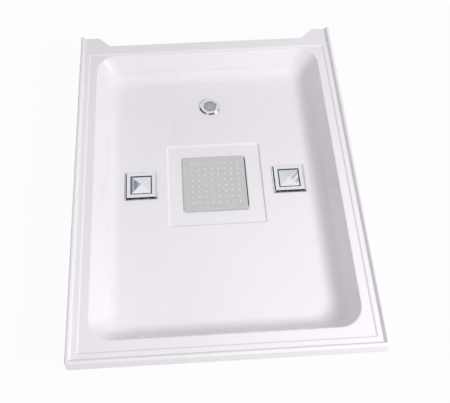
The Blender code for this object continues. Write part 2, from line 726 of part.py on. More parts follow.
def make_rain_head():
    head = add_empty("rain_head", (0, HEAD_Y, RECESS_Z))
    levels = head_levels()
    half = HEAD_SIZE / 2 - HEAD_PLATE - HEAD_BEVEL - TOUCH
    make_head_face(head, levels)
    make_nozzle_mat(head, levels, half)
    make_square_ring("head_seal", "black_rubber", head, half, half - HEAD_SEAL_BAND, levels["seal"],
                     HEAD_SEAL_THICK, HEAD_CORNER)
    make_square_ring("head_gasket", "grey_foam", head, half, half - HEAD_GASKET_BAND, levels["gasket"],
                     HEAD_GASKET_THICK, HEAD_CORNER)
    stem_end = make_head_back(head, levels, half)
    thread = STEM_RADIUS + THREAD_CLEARANCE
    top = -SHEET - TOUCH
    turned("inlet_rubber_washer", ring_points(thread, RUBBER_WASHER_RADIUS, top - RUBBER_WASHER_THICK, top),
           "black_rubber", head)
    top -= RUBBER_WASHER_THICK + TOUCH
    turned("inlet_steel_washer", ring_points(thread, STEEL_WASHER_RADIUS, top - STEEL_WASHER_THICK, top),
           "zinc_steel", head)
    top -= STEEL_WASHER_THICK + TOUCH
    hex_nut("inlet_lock_nut", "brass", head, LOCK_NUT_FLATS, top - LOCK_NUT_THICK, top, thread)
    washer_top = stem_end - TOUCH
    turned("hose_washer", ring_points(ELBOW_BORE_RADIUS, ELBOW_COLLAR_RADIUS, washer_top - HOSE_WASHER_THICK,
                                      washer_top), "black_rubber", head)
    collar_top = washer_top - HOSE_WASHER_THICK - TOUCH
    make_elbow(head, collar_top)
    lip_low = collar_top - ELBOW_COLLAR_THICK - ELBOW_BLEND - UNION_NUT_LIP
    hex_nut("hose_union_nut", "brass", head, UNION_NUT_FLATS, lip_low, stem_end + UNION_NUT_GRIP, thread,
            ELBOW_RADIUS + THREAD_CLEARANCE, UNION_NUT_LIP)


def make_gland(name, parent, inside, low):
    """A cable gland whose stub passes the wall between the levels inside and low."""
    body_low = low - TOUCH - GLAND_BODY_HEIGHT
    cap_low = body_low - GLAND_CAP_HEIGHT
    points = [(GLAND_STUB_RADIUS, inside), (GLAND_STUB_RADIUS, low - TOUCH), (GLAND_BODY_RADIUS, low - TOUCH),
              (GLAND_BODY_RADIUS, body_low), (GLAND_CAP_RADIUS, body_low),
              (GLAND_CAP_RADIUS, cap_low + GLAND_CAP_TAPER), (GLAND_CAP_RADIUS - GLAND_CAP_TAPER, cap_low),
              (GLAND_BORE_RADIUS, cap_low), (GLAND_BORE_RADIUS, inside)]
    turned(name, points, "nylon", parent, steps=SMALL_STEPS)


def lamp_levels():
    """Heights in a square lamp, above the dome floor."""
    levels = {"gasket": TOUCH}
    levels["base"] = levels["gasket"] + PANEL_GASKET_THICK + TOUCH
    levels["can_top"] = levels["base"] + CAN_FLANGE_THICK
    levels["pocket"] = levels["can_top"] + TOUCH
    levels["crystal"] = levels["pocket"] + LENS_GASKET_THICK + TOUCH
    levels["crystal_top"] = levels["crystal"] + CRYSTAL_BASE
    levels["lip"] = levels["crystal_top"] + TOUCH
    levels["top"] = levels["lip"] + BEZEL_LIP
    levels["can_end"] = -SHEET - CAN_DEPTH
    levels["can_floor"] = levels["can_end"] + CAN_FLOOR
    levels["board"] = levels["can_floor"] + TOUCH
    levels["board_top"] = levels["board"] + LED_BOARD_THICK
    levels["pin"] = -SHEET - PIN_DROP
    return levels


def screw_places():
    reach = CAN_FLANGE_SIZE / 2 - BEZEL_SCREW_INSET
    return [(x * reach, y * reach) for x in (-1, 1) for y in (-1, 1)]


def make_bezel(side, lamp, levels):
    outer = BEZEL_SIZE / 2
    foot = outer - BEZEL_FLANGE_WIDTH
    opening = BEZEL_OPENING / 2
    pocket = opening + CRYSTAL_UNDERCUT
    under = CAN_FLANGE_SIZE / 2 + TOUCH
    edge = levels["base"] + BEZEL_FLANGE_EDGE
    points = [(foot - BEZEL_RISER_RUN, levels["top"]), (foot, edge + BEZEL_FLANGE_CROWN), (outer, edge),
              (outer, levels["base"]), (under, levels["base"]), (under, levels["pocket"]),
              (pocket, levels["pocket"]), (pocket, levels["lip"]), (opening, levels["lip"]),
              (opening, levels["top"] - BEZEL_LIP_BEVEL), (opening + BEZEL_LIP_BEVEL, levels["top"])]
    bezel = turned(side + "_lamp_bezel", square_profile(points), "chrome", lamp, steps=4)
    bezel.rotation_euler = (0, 0, math.pi / 4)
    holes = bmesh.new()
    for place in screw_places():
        add_cylinder(holes, BEZEL_SCREW_RADIUS + BEZEL_SCREW_CLEARANCE, levels["pocket"] - CUT_OVERRUN,
                     levels["can_top"] + BEZEL_SCREW_REACH + BEZEL_SCREW_CLEARANCE, place, SCREW_STEPS)
    boolean(bezel, add_cutter(side + "_bezel_holes", mesh_of(holes, side + "_bezel_holes"), lamp))


def make_crystal(side, lamp, levels):
    """A square pyramid on a wider base that the bezel's lip holds down."""
    base = BEZEL_OPENING / 2 + CRYSTAL_UNDERCUT - TOUCH
    foot = BEZEL_OPENING / 2 - CRYSTAL_CLEARANCE
    points = square_profile([(0.0, levels["crystal_top"] + CRYSTAL_RISE), (foot, levels["crystal_top"]),
                             (base, levels["crystal_top"]), (base, levels["crystal"]),
                             (0.0, levels["crystal"])])
    crystal = turned(side + "_lamp_crystal", points, "crystal", lamp, closed=False, steps=4)
    crystal.rotation_euler = (0, 0, math.pi / 4)


def can_profile(levels):
    """The can's wall from its mouth down to its tapered foot, with the gland's hole in its floor."""
    gland_hole = GLAND_STUB_RADIUS + GLAND_CLEARANCE
    inner = CAN_RADIUS - CAN_WALL
    shoulder = levels["can_end"] + CAN_FOOT_RISE
    mouth = levels["can_top"] - CAN_FLANGE_THICK / 2
    return [(CAN_RADIUS, mouth), (CAN_RADIUS, shoulder), (CAN_FOOT_RADIUS, levels["can_end"]),
            (gland_hole, levels["can_end"]), (gland_hole, levels["can_floor"]),
            (CAN_FOOT_RADIUS - CAN_WALL, levels["can_floor"]), (inner, shoulder + CAN_WALL), (inner, mouth)]


def make_can(side, lamp, levels):
    """A pressed can under a square flange, with a hole for the rivet of each spring bracket."""
    name = side + "_lamp_can"
    can = turned(name, can_profile(levels), "cast_aluminium", lamp)
    flange = flat_curve(name + "_flange", CAN_FLANGE_THICK)
    rounded_square(flange, CAN_FLANGE_SIZE / 2, BEZEL_SCREW_INSET)
    circle_outline(flange, CAN_RADIUS - CAN_WALL / 2)
    flange = add_cutter(name + "_flange_bar", flange, lamp, (0, 0, levels["base"] + CAN_FLANGE_THICK / 2))
    boolean(can, solid_from_curve(flange, name + "_flange"), "UNION")
    holes = bmesh.new()
    for place in screw_places():
        add_cylinder(holes, BEZEL_SCREW_RADIUS + BEZEL_SCREW_CLEARANCE, levels["base"] - CUT_OVERRUN,
                     levels["can_top"] + CUT_OVERRUN, place, SCREW_STEPS)
    for way in (-1, 1):
        rivet = add_cylinder(holes, RIVET_RADIUS + RIVET_CLEARANCE, -CUT_OVERRUN, CUT_OVERRUN + CAN_WALL,
                             sides=SCREW_STEPS)
        bmesh.ops.rotate(holes, verts=rivet, matrix=Matrix.Rotation(-way * math.pi / 2, 3, "X"))
        bmesh.ops.translate(holes, verts=rivet,
                            vec=(0, way * (CAN_RADIUS - CAN_WALL), levels["pin"] - RIVET_DROP))
    boolean(can, add_cutter(name + "_holes", mesh_of(holes, name + "_holes"), lamp))


def make_panel_gasket(side, lamp, levels):
    name = side + "_lamp_panel_gasket"
    curve = flat_curve(name, PANEL_GASKET_THICK)
    rounded_square(curve, BEZEL_SIZE / 2 - PANEL_GASKET_INSET, BEZEL_FLANGE_WIDTH)
    circle_outline(curve, LAMP_CUTOUT_RADIUS + PANEL_GASKET_THICK)
    for place in screw_places():
        circle_outline(curve, BEZEL_SCREW_HEAD_RADIUS + SCREW_POCKET_CLEARANCE, place, SCREW_STEPS)
    add_piece(name, curve, "grey_foam", lamp, (0, 0, levels["gasket"] + PANEL_GASKET_THICK / 2))


def make_bezel_screws(side, lamp, levels):
    """Four alike screws, from the back of the can's flange up into the bezel."""
    under = levels["base"] - TOUCH
    tip = levels["can_top"] + BEZEL_SCREW_REACH
    head = BEZEL_SCREW_HEAD_RADIUS
    points = [(0, tip), (BEZEL_SCREW_RADIUS, tip), (BEZEL_SCREW_RADIUS, under), (head, under),
              (head, under - BEZEL_SCREW_HEAD), (0, under - BEZEL_SCREW_HEAD)]
    for number, (x, y) in enumerate(screw_places(), start=1):
        turned(side + "_lamp_screw_" + str(number), points, "zinc_steel", lamp, (x, y, 0), False, SCREW_STEPS)


def make_light_engine(side, lamp, levels):
    """The LED board on the can's floor and the conical reflector that stands on it."""
    gland_top = levels["can_floor"] - GLAND_CLEARANCE
    turned(side + "_lamp_led_board",
           [(0, levels["board_top"] + LED_THICK), (LED_RADIUS, levels["board_top"] + LED_THICK),
            (LED_RADIUS, levels["board_top"]), (LED_BOARD_RADIUS, levels["board_top"]),
            (LED_BOARD_RADIUS, levels["board"]), (0, levels["board"])],
           "board", lamp, closed=False, steps=SMALL_STEPS)
    rim = CAN_RADIUS - CAN_WALL - TOUCH
    top = levels["can_top"] - TOUCH
    foot = levels["board_top"] + TOUCH
    outer_throat = REFLECTOR_THROAT + REFLECTOR_WALL
    turned(side + "_lamp_reflector",
           [(rim, top), (rim, top - REFLECTOR_RIM), (outer_throat, foot), (REFLECTOR_THROAT, foot),
            (rim - REFLECTOR_WALL, top - REFLECTOR_RIM + REFLECTOR_WALL), (rim - REFLECTOR_WALL, top)],
           "chrome", lamp)
    make_gland(side + "_lamp_gland", lamp, gland_top, levels["can_end"])


def clip_points(pin_z):
    """Centre line of a spring clip about its pin: arm, coil, bridge, coil, arm.

    X runs outwards from the can, Y along the pin. The arms press on the back of the sheet.
    """
    panel = -SHEET - TOUCH - WIRE_RADIUS - pin_z
    touch = CLIP_REACH - CLIP_TIP
    knee, knee_drop = CLIP_KNEE_SHARES
    arm = [(CLIP_REACH, panel - CLIP_TIP_DROP),
           (CLIP_REACH - CLIP_TIP * knee, panel - CLIP_TIP_DROP * knee_drop),
           (touch, panel), (touch / 2, (panel + COIL_RADIUS) / 2)]
    near = [(x, -COIL_OUTER, z) for x, z in arm]
    steps = int(COIL_TURNS * COIL_POINTS)
    for step in range(steps + 1):
        angle = math.pi / 2 + 2 * math.pi * step / COIL_POINTS
        near.append((COIL_RADIUS * math.cos(angle), -COIL_OUTER + COIL_PITCH * step / COIL_POINTS,
                     COIL_RADIUS * math.sin(angle)))
    return near + [(x, -y, z) for x, y, z in reversed(near)]


def make_clip(name, holder, levels, pin_reach):
    points = [(place, WIRE_RADIUS) for place in clip_points(levels["pin"])]
    curve = tube_curve(name, points, WIRE_RADIUS, WIRE_RESOLUTION)
    add_piece(name, curve, "zinc_steel", holder, (pin_reach, 0, levels["pin"]))


def make_bracket(name, holder, levels, pin_reach):
    """A channel with its back on the can and the pin through its two ears."""
    back = CAN_RADIUS + TOUCH
    web = back + BRACKET_SHEET
    nose = pin_reach + BRACKET_NOSE
    inside = COIL_OUTER + WIRE_RADIUS + BRACKET_SIDE_CLEARANCE
    side = inside + BRACKET_SHEET
    low = levels["pin"] - BRACKET_BELOW_PIN
    high = levels["pin"] + BRACKET_ABOVE_PIN
    curve = flat_curve(name, high - low)
    add_outline(curve, [(back, -side), (nose, -side), (nose, -inside), (web, -inside), (web, inside),
                        (nose, inside), (nose, side), (back, side)])
    bar = add_piece(name + "_channel", curve, "zinc_steel", holder, (0, 0, (high + low) / 2))
    bracket = solid_from_curve(bar, name)
    cut = cylinder_mesh(name + "_pin_hole", PIN_RADIUS + PIN_CLEARANCE, -side - CUT_OVERRUN,
                        side + CUT_OVERRUN, SMALL_STEPS)
    hole = add_cutter(name + "_pin_hole", cut, holder, (pin_reach, 0, levels["pin"]))
    hole.rotation_euler = (math.pi / 2, 0, 0)
    boolean(bracket, hole)
    make_rivet(name, holder, bracket, web, levels["pin"] - RIVET_DROP)
    return side


def make_rivet(name, holder, bracket, web, level):
    """The rivet that fixes a bracket: one body with it, its inner head inside the can's wall."""
    inner = CAN_RADIUS - CAN_WALL - RIVET_STANDOFF
    middle = web - BRACKET_SHEET / 2
    profile = [(0, web + RIVET_HEAD), (RIVET_HEAD_RADIUS, web + RIVET_HEAD), (RIVET_HEAD_RADIUS, middle),
               (RIVET_RADIUS, middle), (RIVET_RADIUS, inner), (RIVET_HEAD_RADIUS, inner),
               (RIVET_HEAD_RADIUS, inner - RIVET_HEAD), (0, inner - RIVET_HEAD)]
    rivet = add_cutter(name + "_rivet", profile_mesh(name + "_rivet", profile, False), holder, (0, 0, level))
    rivet.rotation_euler = (0, math.pi / 2, 0)
    turn(rivet, SCREW_STEPS)
    boolean(bracket, rivet, "UNION")


def make_pin(name, holder, levels, pin_reach, ear):
    """A headed pin through both ears of the bracket and through the spring's coils."""
    start = ear + TOUCH
    end = start + PIN_HEAD
    pin = turned(name, [(0, end), (PIN_HEAD_RADIUS, end), (PIN_HEAD_RADIUS, start), (PIN_RADIUS, start),
                        (PIN_RADIUS, -start), (PIN_HEAD_RADIUS, -start), (PIN_HEAD_RADIUS, -end), (0, -end)],
                 "zinc_steel", holder, (pin_reach, 0, levels["pin"]), False, SCREW_STEPS)
    pin.rotation_euler = (math.pi / 2, 0, 0)


def make_clips(side, lamp, levels):
    """Two hinged spring clips, at the front and at the rear of the can."""
    pin_reach = CAN_RADIUS + TOUCH + BRACKET_SHEET + TOUCH + WIRE_RADIUS + COIL_RADIUS
    for end, turn_angle in (("front", -math.pi / 2), ("rear", math.pi / 2)):
        holder = add_empty(side + "_lamp_" + end, (0, 0, 0), lamp, turn_angle)
        ear = make_bracket(side + "_lamp_bracket_" + end, holder, levels, pin_reach)
        make_clip(side + "_lamp_clip_" + end, holder, levels, pin_reach)
        make_pin(side + "_lamp_pin_" + end, holder, levels, pin_reach, ear)


def make_square_lamp(side, x):
    lamp = add_empty(side + "_lamp", (x, LAMP_Y, FLOOR_Z))
    levels = lamp_levels()
    make_bezel(side, lamp, levels)
    make_crystal(side, lamp, levels)
    half = BEZEL_OPENING / 2 + CRYSTAL_UNDERCUT - TOUCH
    make_square_ring(side + "_lamp_lens_gasket", "silicone", lamp, half, half - LENS_GASKET_BAND,
                     levels["pocket"], LENS_GASKET_THICK, LENS_GASKET_THICK)
    make_panel_gasket(side, lamp, levels)
    make_bezel_screws(side, lamp, levels)
    make_can(side, lamp, levels)
    make_light_engine(side, lamp, levels)
    make_clips(side, lamp, levels)


def make_round_lamp():
    lamp = add_empty("round_lamp", (0, ROUND_Y, FLOOR_Z))
    base = TOUCH + PANEL_GASKET_THICK + TOUCH
    hole = ROUND_BODY_RADIUS + ROUND_HOLE_CLEARANCE
    turned("round_lamp_panel_gasket", ring_points(hole, ROUND_FLANGE_RADIUS - TOUCH, TOUCH,
                                                  TOUCH + PANEL_GASKET_THICK), "grey_foam", lamp)
    flange_top = base + ROUND_FLANGE_THICK
    end = -SHEET - ROUND_BODY_DEPTH
    inner = ROUND_BODY_RADIUS - ROUND_BODY_WALL
    gland_hole = GLAND_STUB_RADIUS + GLAND_CLEARANCE
    turned("round_lamp_body",
           [(ROUND_FLANGE_RADIUS, flange_top), (ROUND_FLANGE_RADIUS, base), (ROUND_BODY_RADIUS, base),
            (ROUND_BODY_RADIUS, end), (gland_hole, end), (gland_hole, end + ROUND_BODY_WALL),
            (inner, end + ROUND_BODY_WALL), (inner, flange_top)], "white_plastic", lamp)
    gasket = flange_top + TOUCH
    lens = gasket + ROUND_GASKET_THICK + TOUCH
    lens_top = lens + ROUND_LENS_EDGE
    turned("round_lamp_lens_gasket", ring_points(ROUND_LENS_RADIUS - ROUND_GASKET_BAND, ROUND_LENS_RADIUS,
                                                 gasket, gasket + ROUND_GASKET_THICK), "silicone", lamp)
    dome = RING_OPENING - TOUCH
    turned("round_lamp_lens",
           [(0, lens_top + ROUND_LENS_CROWN), (dome / 2, lens_top + ROUND_LENS_CROWN * LENS_SHOULDER_SHARE),
            (dome, lens_top), (ROUND_LENS_RADIUS, lens_top), (ROUND_LENS_RADIUS, lens), (0, lens)],
           "lens", lamp, closed=False)
    lip = lens_top + TOUCH
    top = lip + RING_LIP
    crown = (RING_RADIUS + RING_OPENING) / 2
    turned("round_lamp_ring",
           [(crown, top), (RING_RADIUS - RING_CROWN, top - RING_CROWN * RING_SHOULDER_SHARE),
            (RING_RADIUS, top - RING_CROWN), (RING_RADIUS, TOUCH), (ROUND_FLANGE_RADIUS + TOUCH, TOUCH),
            (ROUND_FLANGE_RADIUS + TOUCH, gasket), (ROUND_LENS_RADIUS + TOUCH, gasket),
            (ROUND_LENS_RADIUS + TOUCH, lip), (RING_OPENING, lip),
            (RING_OPENING + RING_LIP, top - RING_LIP / 2)],
           "chrome", lamp, steps=FINE_STEPS)
    washer_top = -SHEET - TOUCH
    nut_top = washer_top - BACK_WASHER_THICK - TOUCH
    thread = ROUND_BODY_RADIUS + THREAD_CLEARANCE
    turned("round_lamp_back_washer", ring_points(thread, BACK_WASHER_RADIUS, washer_top - BACK_WASHER_THICK,
                                                 washer_top), "black_rubber", lamp)
    make_ring_nut(lamp, thread, nut_top)
    make_round_board(lamp, end + ROUND_BODY_WALL)
    make_gland("round_lamp_gland", lamp, end + ROUND_BODY_WALL - GLAND_CLEARANCE, end)


def make_ring_nut(lamp, thread, top):
    """A moulded nut with grip lugs round its edge."""
    low = top - RING_NUT_THICK
    nut = turned("round_lamp_nut", ring_points(thread, RING_NUT_RADIUS, low, top), "white_plastic", lamp)
    lugs = bmesh.new()
    for index in range(RING_NUT_LUGS):
        made = bmesh.ops.create_cube(lugs, size=1.0)
        size = Matrix.Diagonal((2 * RING_NUT_LUG, RING_NUT_LUG, RING_NUT_THICK - 2 * TOUCH, 1.0))
        place = Matrix.Rotation(2 * math.pi * index / RING_NUT_LUGS, 4, "Z") @ Matrix.Translation(
            (RING_NUT_RADIUS, 0, (low + top) / 2))
        bmesh.ops.transform(lugs, matrix=place @ size, verts=made["verts"])
    boolean(nut, add_cutter("ring_nut_lugs", mesh_of(lugs, "ring_nut_lugs"), lamp), "UNION")


def make_round_board(lamp, floor):
    """A board on a turned post, with a circle of small LEDs round one in the middle."""
    low = floor + ROUND_BOARD_LIFT
    post = ROUND_BODY_RADIUS - ROUND_BODY_WALL - TOUCH
    board = turned("round_lamp_led_board",
                   [(0, low + LED_BOARD_THICK), (ROUND_BOARD_RADIUS, low + LED_BOARD_THICK), (post, low),
                    (post, floor + TOUCH), (post - ROUND_BODY_WALL, floor + TOUCH),
                    (post - ROUND_BODY_WALL, low - LED_BOARD_THICK), (0, low - LED_BOARD_THICK)],
                   "board", lamp, closed=False)
    leds = bmesh.new()
    places = [(0.0, 0.0)]
    for index in range(ROUND_LED_COUNT):
        angle = 2 * math.pi * index / ROUND_LED_COUNT
        places.append((ROUND_LED_CIRCLE * math.cos(angle), ROUND_LED_CIRCLE * math.sin(angle)))
    top = low + LED_BOARD_THICK + ROUND_LED_RADIUS
    for place in places:
        add_cylinder(leds, ROUND_LED_RADIUS, low, top, place, SCREW_STEPS)
    boolean(board, add_cutter("round_leds", mesh_of(leds, "round_leds"), lamp), "UNION")


def main():
    clear_scene()
    make_shell()
    make_rain_head()
    make_square_lamp("left", -LAMP_X)
    make_square_lamp("right", LAMP_X)
    make_round_lamp()


main()
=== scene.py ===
import json
import math

import bmesh
import bpy
from mathutils import Matrix, Vector


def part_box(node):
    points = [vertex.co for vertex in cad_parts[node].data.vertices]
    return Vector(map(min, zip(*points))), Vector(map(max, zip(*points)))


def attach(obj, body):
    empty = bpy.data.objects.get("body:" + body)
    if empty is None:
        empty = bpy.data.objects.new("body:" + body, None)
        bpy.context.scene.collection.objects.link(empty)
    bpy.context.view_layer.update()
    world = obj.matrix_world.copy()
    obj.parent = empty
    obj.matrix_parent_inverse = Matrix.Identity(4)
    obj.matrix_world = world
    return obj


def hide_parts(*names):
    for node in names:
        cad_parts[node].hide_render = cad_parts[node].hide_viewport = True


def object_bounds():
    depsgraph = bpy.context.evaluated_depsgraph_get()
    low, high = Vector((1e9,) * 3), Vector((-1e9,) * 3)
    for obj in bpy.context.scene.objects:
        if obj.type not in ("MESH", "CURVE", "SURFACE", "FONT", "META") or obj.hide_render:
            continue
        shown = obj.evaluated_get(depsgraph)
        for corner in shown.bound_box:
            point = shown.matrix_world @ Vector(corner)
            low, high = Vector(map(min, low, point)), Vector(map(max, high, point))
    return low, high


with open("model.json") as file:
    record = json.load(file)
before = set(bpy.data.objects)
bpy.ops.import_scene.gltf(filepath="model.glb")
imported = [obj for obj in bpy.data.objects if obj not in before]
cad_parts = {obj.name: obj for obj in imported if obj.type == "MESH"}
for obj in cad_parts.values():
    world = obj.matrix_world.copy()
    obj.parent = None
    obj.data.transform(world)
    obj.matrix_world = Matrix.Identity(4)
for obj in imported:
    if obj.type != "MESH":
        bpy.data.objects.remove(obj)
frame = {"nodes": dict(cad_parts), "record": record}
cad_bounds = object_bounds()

# Camera, fitted to the photograph (450 x 403 pixels)
IMAGE_WIDTH = 450
IMAGE_HEIGHT = 403
FOCAL_PIXELS = 705.1831
CENTRE_X_PIXELS = 216.5432
CENTRE_Y_PIXELS = 201.1149
SENSOR_MM = 36.0
CAMERA_PLACE = (-0.0721, -1.1867, 1.7764)
CAMERA_RIGHT = (0.9981, -0.0609, 0.0013)
CAMERA_DOWN = (-0.0513, -0.8513, -0.5222)
CAMERA_FORWARD = (0.0329, 0.5211, -0.8529)

# Light and floor
SKY_COLOUR = (0.97, 0.965, 1.0, 1.0)
SKY_STRENGTH = 0.52
KEY_PLACE = (1.9, -1.65, 2.0)
KEY_TARGET = (0.0, 0.0, -0.05)
KEY_SIZE = 1.0
KEY_ENERGY = 64.0
FLOOR_TONE = 0.66
FLOOR_DULL = 0.9
FLOOR_WHITE = 0.96
FLOOR_HALF = 8.0
FLOOR_GAP = 0.0005

# Formed sheet: the driving sizes of the panel, in metres
PANEL_WIDTH = 0.856
PANEL_LENGTH = 1.154
SHEET = 0.0035
SKIRT_FOOT = -0.033
SKIRT_DRAFT = 0.0015
LIP_WIDTH = 0.0155
LIP_DRAFT = 0.0045
LIP_TOP = 0.009
LIP_ROUND = 0.0045
RIM_CORNER = 0.006
STEP_CORNER = 0.004
LEDGE_WIDTH = 0.0145
STEP_RUN = 0.0045
STEP_DROP = 0.003
STEP_REAR_SETBACK = 0.0785
EAR_WIDTH = 0.0465
NOTCH_DEPTH = 0.038
REAR_OVERRUN = 0.060
FLANGE_SIDE = 0.0245
FLANGE_FRONT = 0.030
FLANGE_REAR = 0.0035
DOME_DEPTH = 0.080
DOME_DRAFT = math.radians(27.0)
DOME_EDGE_ROUND = 0.004
DOME_FLOOR_ROUND = 0.055
DOME_CORNER = 0.065
DOME_FLOOR_CORNER = 0.045
RECESS_HALF = 0.150
RECESS_DEPTH = 0.004
RECESS_SLOPE = 0.006
RECESS_CORNER = 0.004
RECESS_FLOOR_CORNER = 0.0025
RECESS_STEEP = 0.0032
RECESS_STEEP_DROP = 0.0034
LAMP_HOLE = 0.040
ROUND_HOLE = 0.024
STEM_HOLE = 0.0115
FLAT_MARGIN = 0.002

# Steps of the rounds, and small rounds as (tangent length, steps)
CORNER_STEPS = 18
CREASE_STEPS = 4
LIP_STEPS = 6
FLOOR_STEPS = 22
CREASE = (0.0012, CREASE_STEPS)
RECESS_CREASE = (0.0006, CREASE_STEPS)
RECESS_SWEEP = (0.0009, CREASE_STEPS)
HEAD_FOLD = (0.0005, CREASE_STEPS)
HEAD_CREASE = (0.0003, CREASE_STEPS)
BEZEL_EASE = (0.0003, 3)
BEZEL_FOLD = (0.0001, 2)
UNROUNDED = (0.0, 0)

# Levels that follow
FLANGE_Z = -STEP_DROP
FLOOR_Z = FLANGE_Z - DOME_DEPTH
RECESS_Z = FLOOR_Z - RECESS_DEPTH
STEP_HALF = PANEL_WIDTH / 2 - LIP_WIDTH - LEDGE_WIDTH - STEP_RUN
STEP_FRONT = -PANEL_LENGTH / 2 + LIP_WIDTH + LEDGE_WIDTH + STEP_RUN
STEP_REAR = PANEL_LENGTH / 2 - STEP_REAR_SETBACK
DOME_HALF = STEP_HALF - FLANGE_SIDE
DOME_FRONT = STEP_FRONT + FLANGE_FRONT
DOME_REAR = STEP_REAR - FLANGE_REAR


# Places of the fittings, read from the frame
def centre_of(node):
    """The middle of a node, seen from above."""
    low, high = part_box(node)
    return (low[0] + high[0]) / 2, (low[1] + high[1]) / 2


def half_width(node):
    low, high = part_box(node)
    return (high[0] - low[0]) / 2


def levels(node):
    """The lowest and the highest level of a node."""
    low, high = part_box(node)
    return low[2], high[2]


HEAD_CENTRE = centre_of("head_face")
HEAD_HALF = half_width("head_face")
HEAD_TOP = levels("head_face")[1]
ROUND_CENTRE = centre_of("round_lamp_ring")
RING_RADIUS = half_width("round_lamp_ring")
RING_TOP = levels("round_lamp_ring")[1]
LAMP_CENTRES = {side: centre_of(side + "_lamp_bezel") for side in ("left", "right")}

# Shading, merging and the gap between pieces
SHARP = 35.0
TURNED_SHARP = 25.0
PRESSED_SHARP = 60.0
FACET_SHARP = 1.0
MERGE = 0.00001
WELD = 0.000002
CLEAR = 0.0003
TURN_STEPS = 96
NUT_STEPS = 72
FINE_STEPS = 64
HOLE_SIDES = 20

# Rain head
HEAD_CORNER = 0.008
HEAD_BEVEL = 0.0042
HEAD_DROP = 0.0024
HEAD_PLATE = 0.001
NOZZLE_ROWS = 8
NOZZLE_PITCH = 0.0207
NOZZLE_HOLE = 0.0027
NOZZLE_ROOT = 0.0026
NOZZLE_TIP = 0.0021
NOZZLE_SHOULDER = 0.0003
NOZZLE_BORE = 0.0005
MAT_THICK = 0.0012

# Square lamps, heights above the dome floor
BEZEL_FLANGE = 0.0026
BEZEL_RISER = 0.0037
BEZEL_OPENING = 0.0335
BEZEL_BASE = 0.0016
BEZEL_EDGE = 0.0020
BEZEL_FOOT = 0.0037
BEZEL_POCKET = 0.0029
BEZEL_LIP = 0.0061
BEZEL_TOP = 0.0076
BEZEL_UNDER = 0.0433
BEZEL_POCKET_HALF = 0.038
BEZEL_CORNER = 0.0006
BEZEL_STEPS = 3
CRYSTAL_FOOT = 0.0306
CRYSTAL_RIDGE = 0.0004
CRYSTAL_RIDGE_ANGLE = 10.0
CRYSTAL_BASE_HALF = 0.0377
CRYSTAL_LOW = 0.0038
CRYSTAL_SHOULDER = 0.0058
CRYSTAL_APEX = 0.0128
CRYSTAL_TIP = 0.0002
SILVERING = 0.86
SILVER_FADE = 0.0003

# Round lamp, heights above the dome floor
RING_OPENING = 0.022
RING_CONE = 0.0034
RING_CONE_RISE = 0.0036
RING_BEAD = 0.0005
RING_MOUTH = 0.0019
RING_BORE = 0.0315
RING_GASKET = 0.0034
RING_LIP = 0.0061
LENS_RADIUS = 0.025
LENS_EDGE = 0.0015
LENS_ROWS = 22
LENS_PETALS = 6.0
LENS_TWIST = 160.0
LENS_DIMPLE = 0.05
PETAL_DEPTH = 0.00045
PETAL_SWIRL = 3.0
PETAL_LENGTH = 1.05
RIPPLE_DEPTH = 0.00012
RIPPLES = 5

# Inlet of the rain head
HEAD_BACK_THICK = 0.0012
STEM_RADIUS = 0.0105
STEM_BORE = 0.0070
THREAD_PITCH = 0.0018
THREAD_DEPTH = 0.0007
THREAD_PLAY = 0.0004
THREAD_SHAPE = ((0.08, 1.0), (0.40, 0.0), (0.60, 0.0), (0.92, 1.0))
LOCK_NUT_FLATS = 0.030
UNION_FLATS = 0.027
UNION_LIP = 0.002
NUT_EASE = 0.0006
NUT_FACE_SHARE = 0.48
NUT_CHAMFER_STEPS = 4
NUT_CHAMFER_SLOPE = 0.58
SEAL_EASE = 0.0005
WASHER_EASE = 0.0002
HOSE_SEAL_EASE = 0.0003
ELBOW_COLLAR = 0.0020
ELBOW_COLLAR_RADIUS = 0.0102
ELBOW_RADIUS = 0.0078
ELBOW_BORE = 0.0050
ELBOW_BEND = 0.013
ELBOW_DROP = 0.006
ELBOW_STEP = 0.0004
ELBOW_STEPS = 18
ELBOW_SIDES = 40
TAIL_LENGTH = 0.034
TAIL_RADIUS = 0.0062
BARBS = 3
BARB_RADIUS = 0.0074
BARB_SHARE = 0.9

# Behind the lamps, heights above the dome floor
CAN_TOP = 0.0026
CAN_END = -0.0435
CAN_FLOOR = 0.003
CAN_RADIUS = 0.030
CAN_WALL = 0.0015
CAN_FOOT = 0.027
CAN_FOOT_RISE = 0.006
CAN_FLANGE = 0.043
CAN_CORNER = 0.0025
CAN_GROOVE = 0.0009
CAN_GROOVES = (-0.0255, -0.0290, -0.0325)
CAN_ROUNDS = ((0.0008, 4), (0.0012, 4), (0.0006, 4), (0.00015, 2), (0.00015, 2), (0.0008, 5))
CAN_GROOVE_ROUND = (0.0003, 3)
CAN_FOOT_ROUNDS = ((0.0018, 6), (0.0012, 5))
ROUND_SHARE = 0.999
GLAND_HOLE = 0.0062
GLAND_STUB = 0.0058
GLAND_PLAY = 0.0004
GLAND_HEX_REACH = 0.0085
GLAND_HEX_HEIGHT = 0.0045
GLAND_TURNED = 0.0004
GLAND_CAP = 0.0072
GLAND_CAP_HEIGHT = 0.0070
GLAND_FLUTE = 0.0004
GLAND_FLUTES = 12
GLAND_NOSE = 0.0026
GLAND_BORE = 0.0028
NOSE_STEPS = 6
BOARD_THICK = 0.0016
REFLECTOR_WALL = 0.0008
REFLECTOR_THROAT = 0.011
REFLECTOR_RIM = 0.0015
REFLECTOR_BOW = 0.0012
REFLECTOR_STEPS = 16
SCREW_REACH = 0.0030
SCREW_RADIUS = 0.00125
SCREW_THREAD = 0.00018
SCREW_PITCH = 0.0005
SCREW_FLANK = 0.4
SCREW_POINT = 0.6
SCREW_HEAD = 0.0023
SCREW_HEAD_HEIGHT = 0.0009
SCREW_HEAD_ROUND = 0.0006
SCREW_HEAD_STEPS = 4
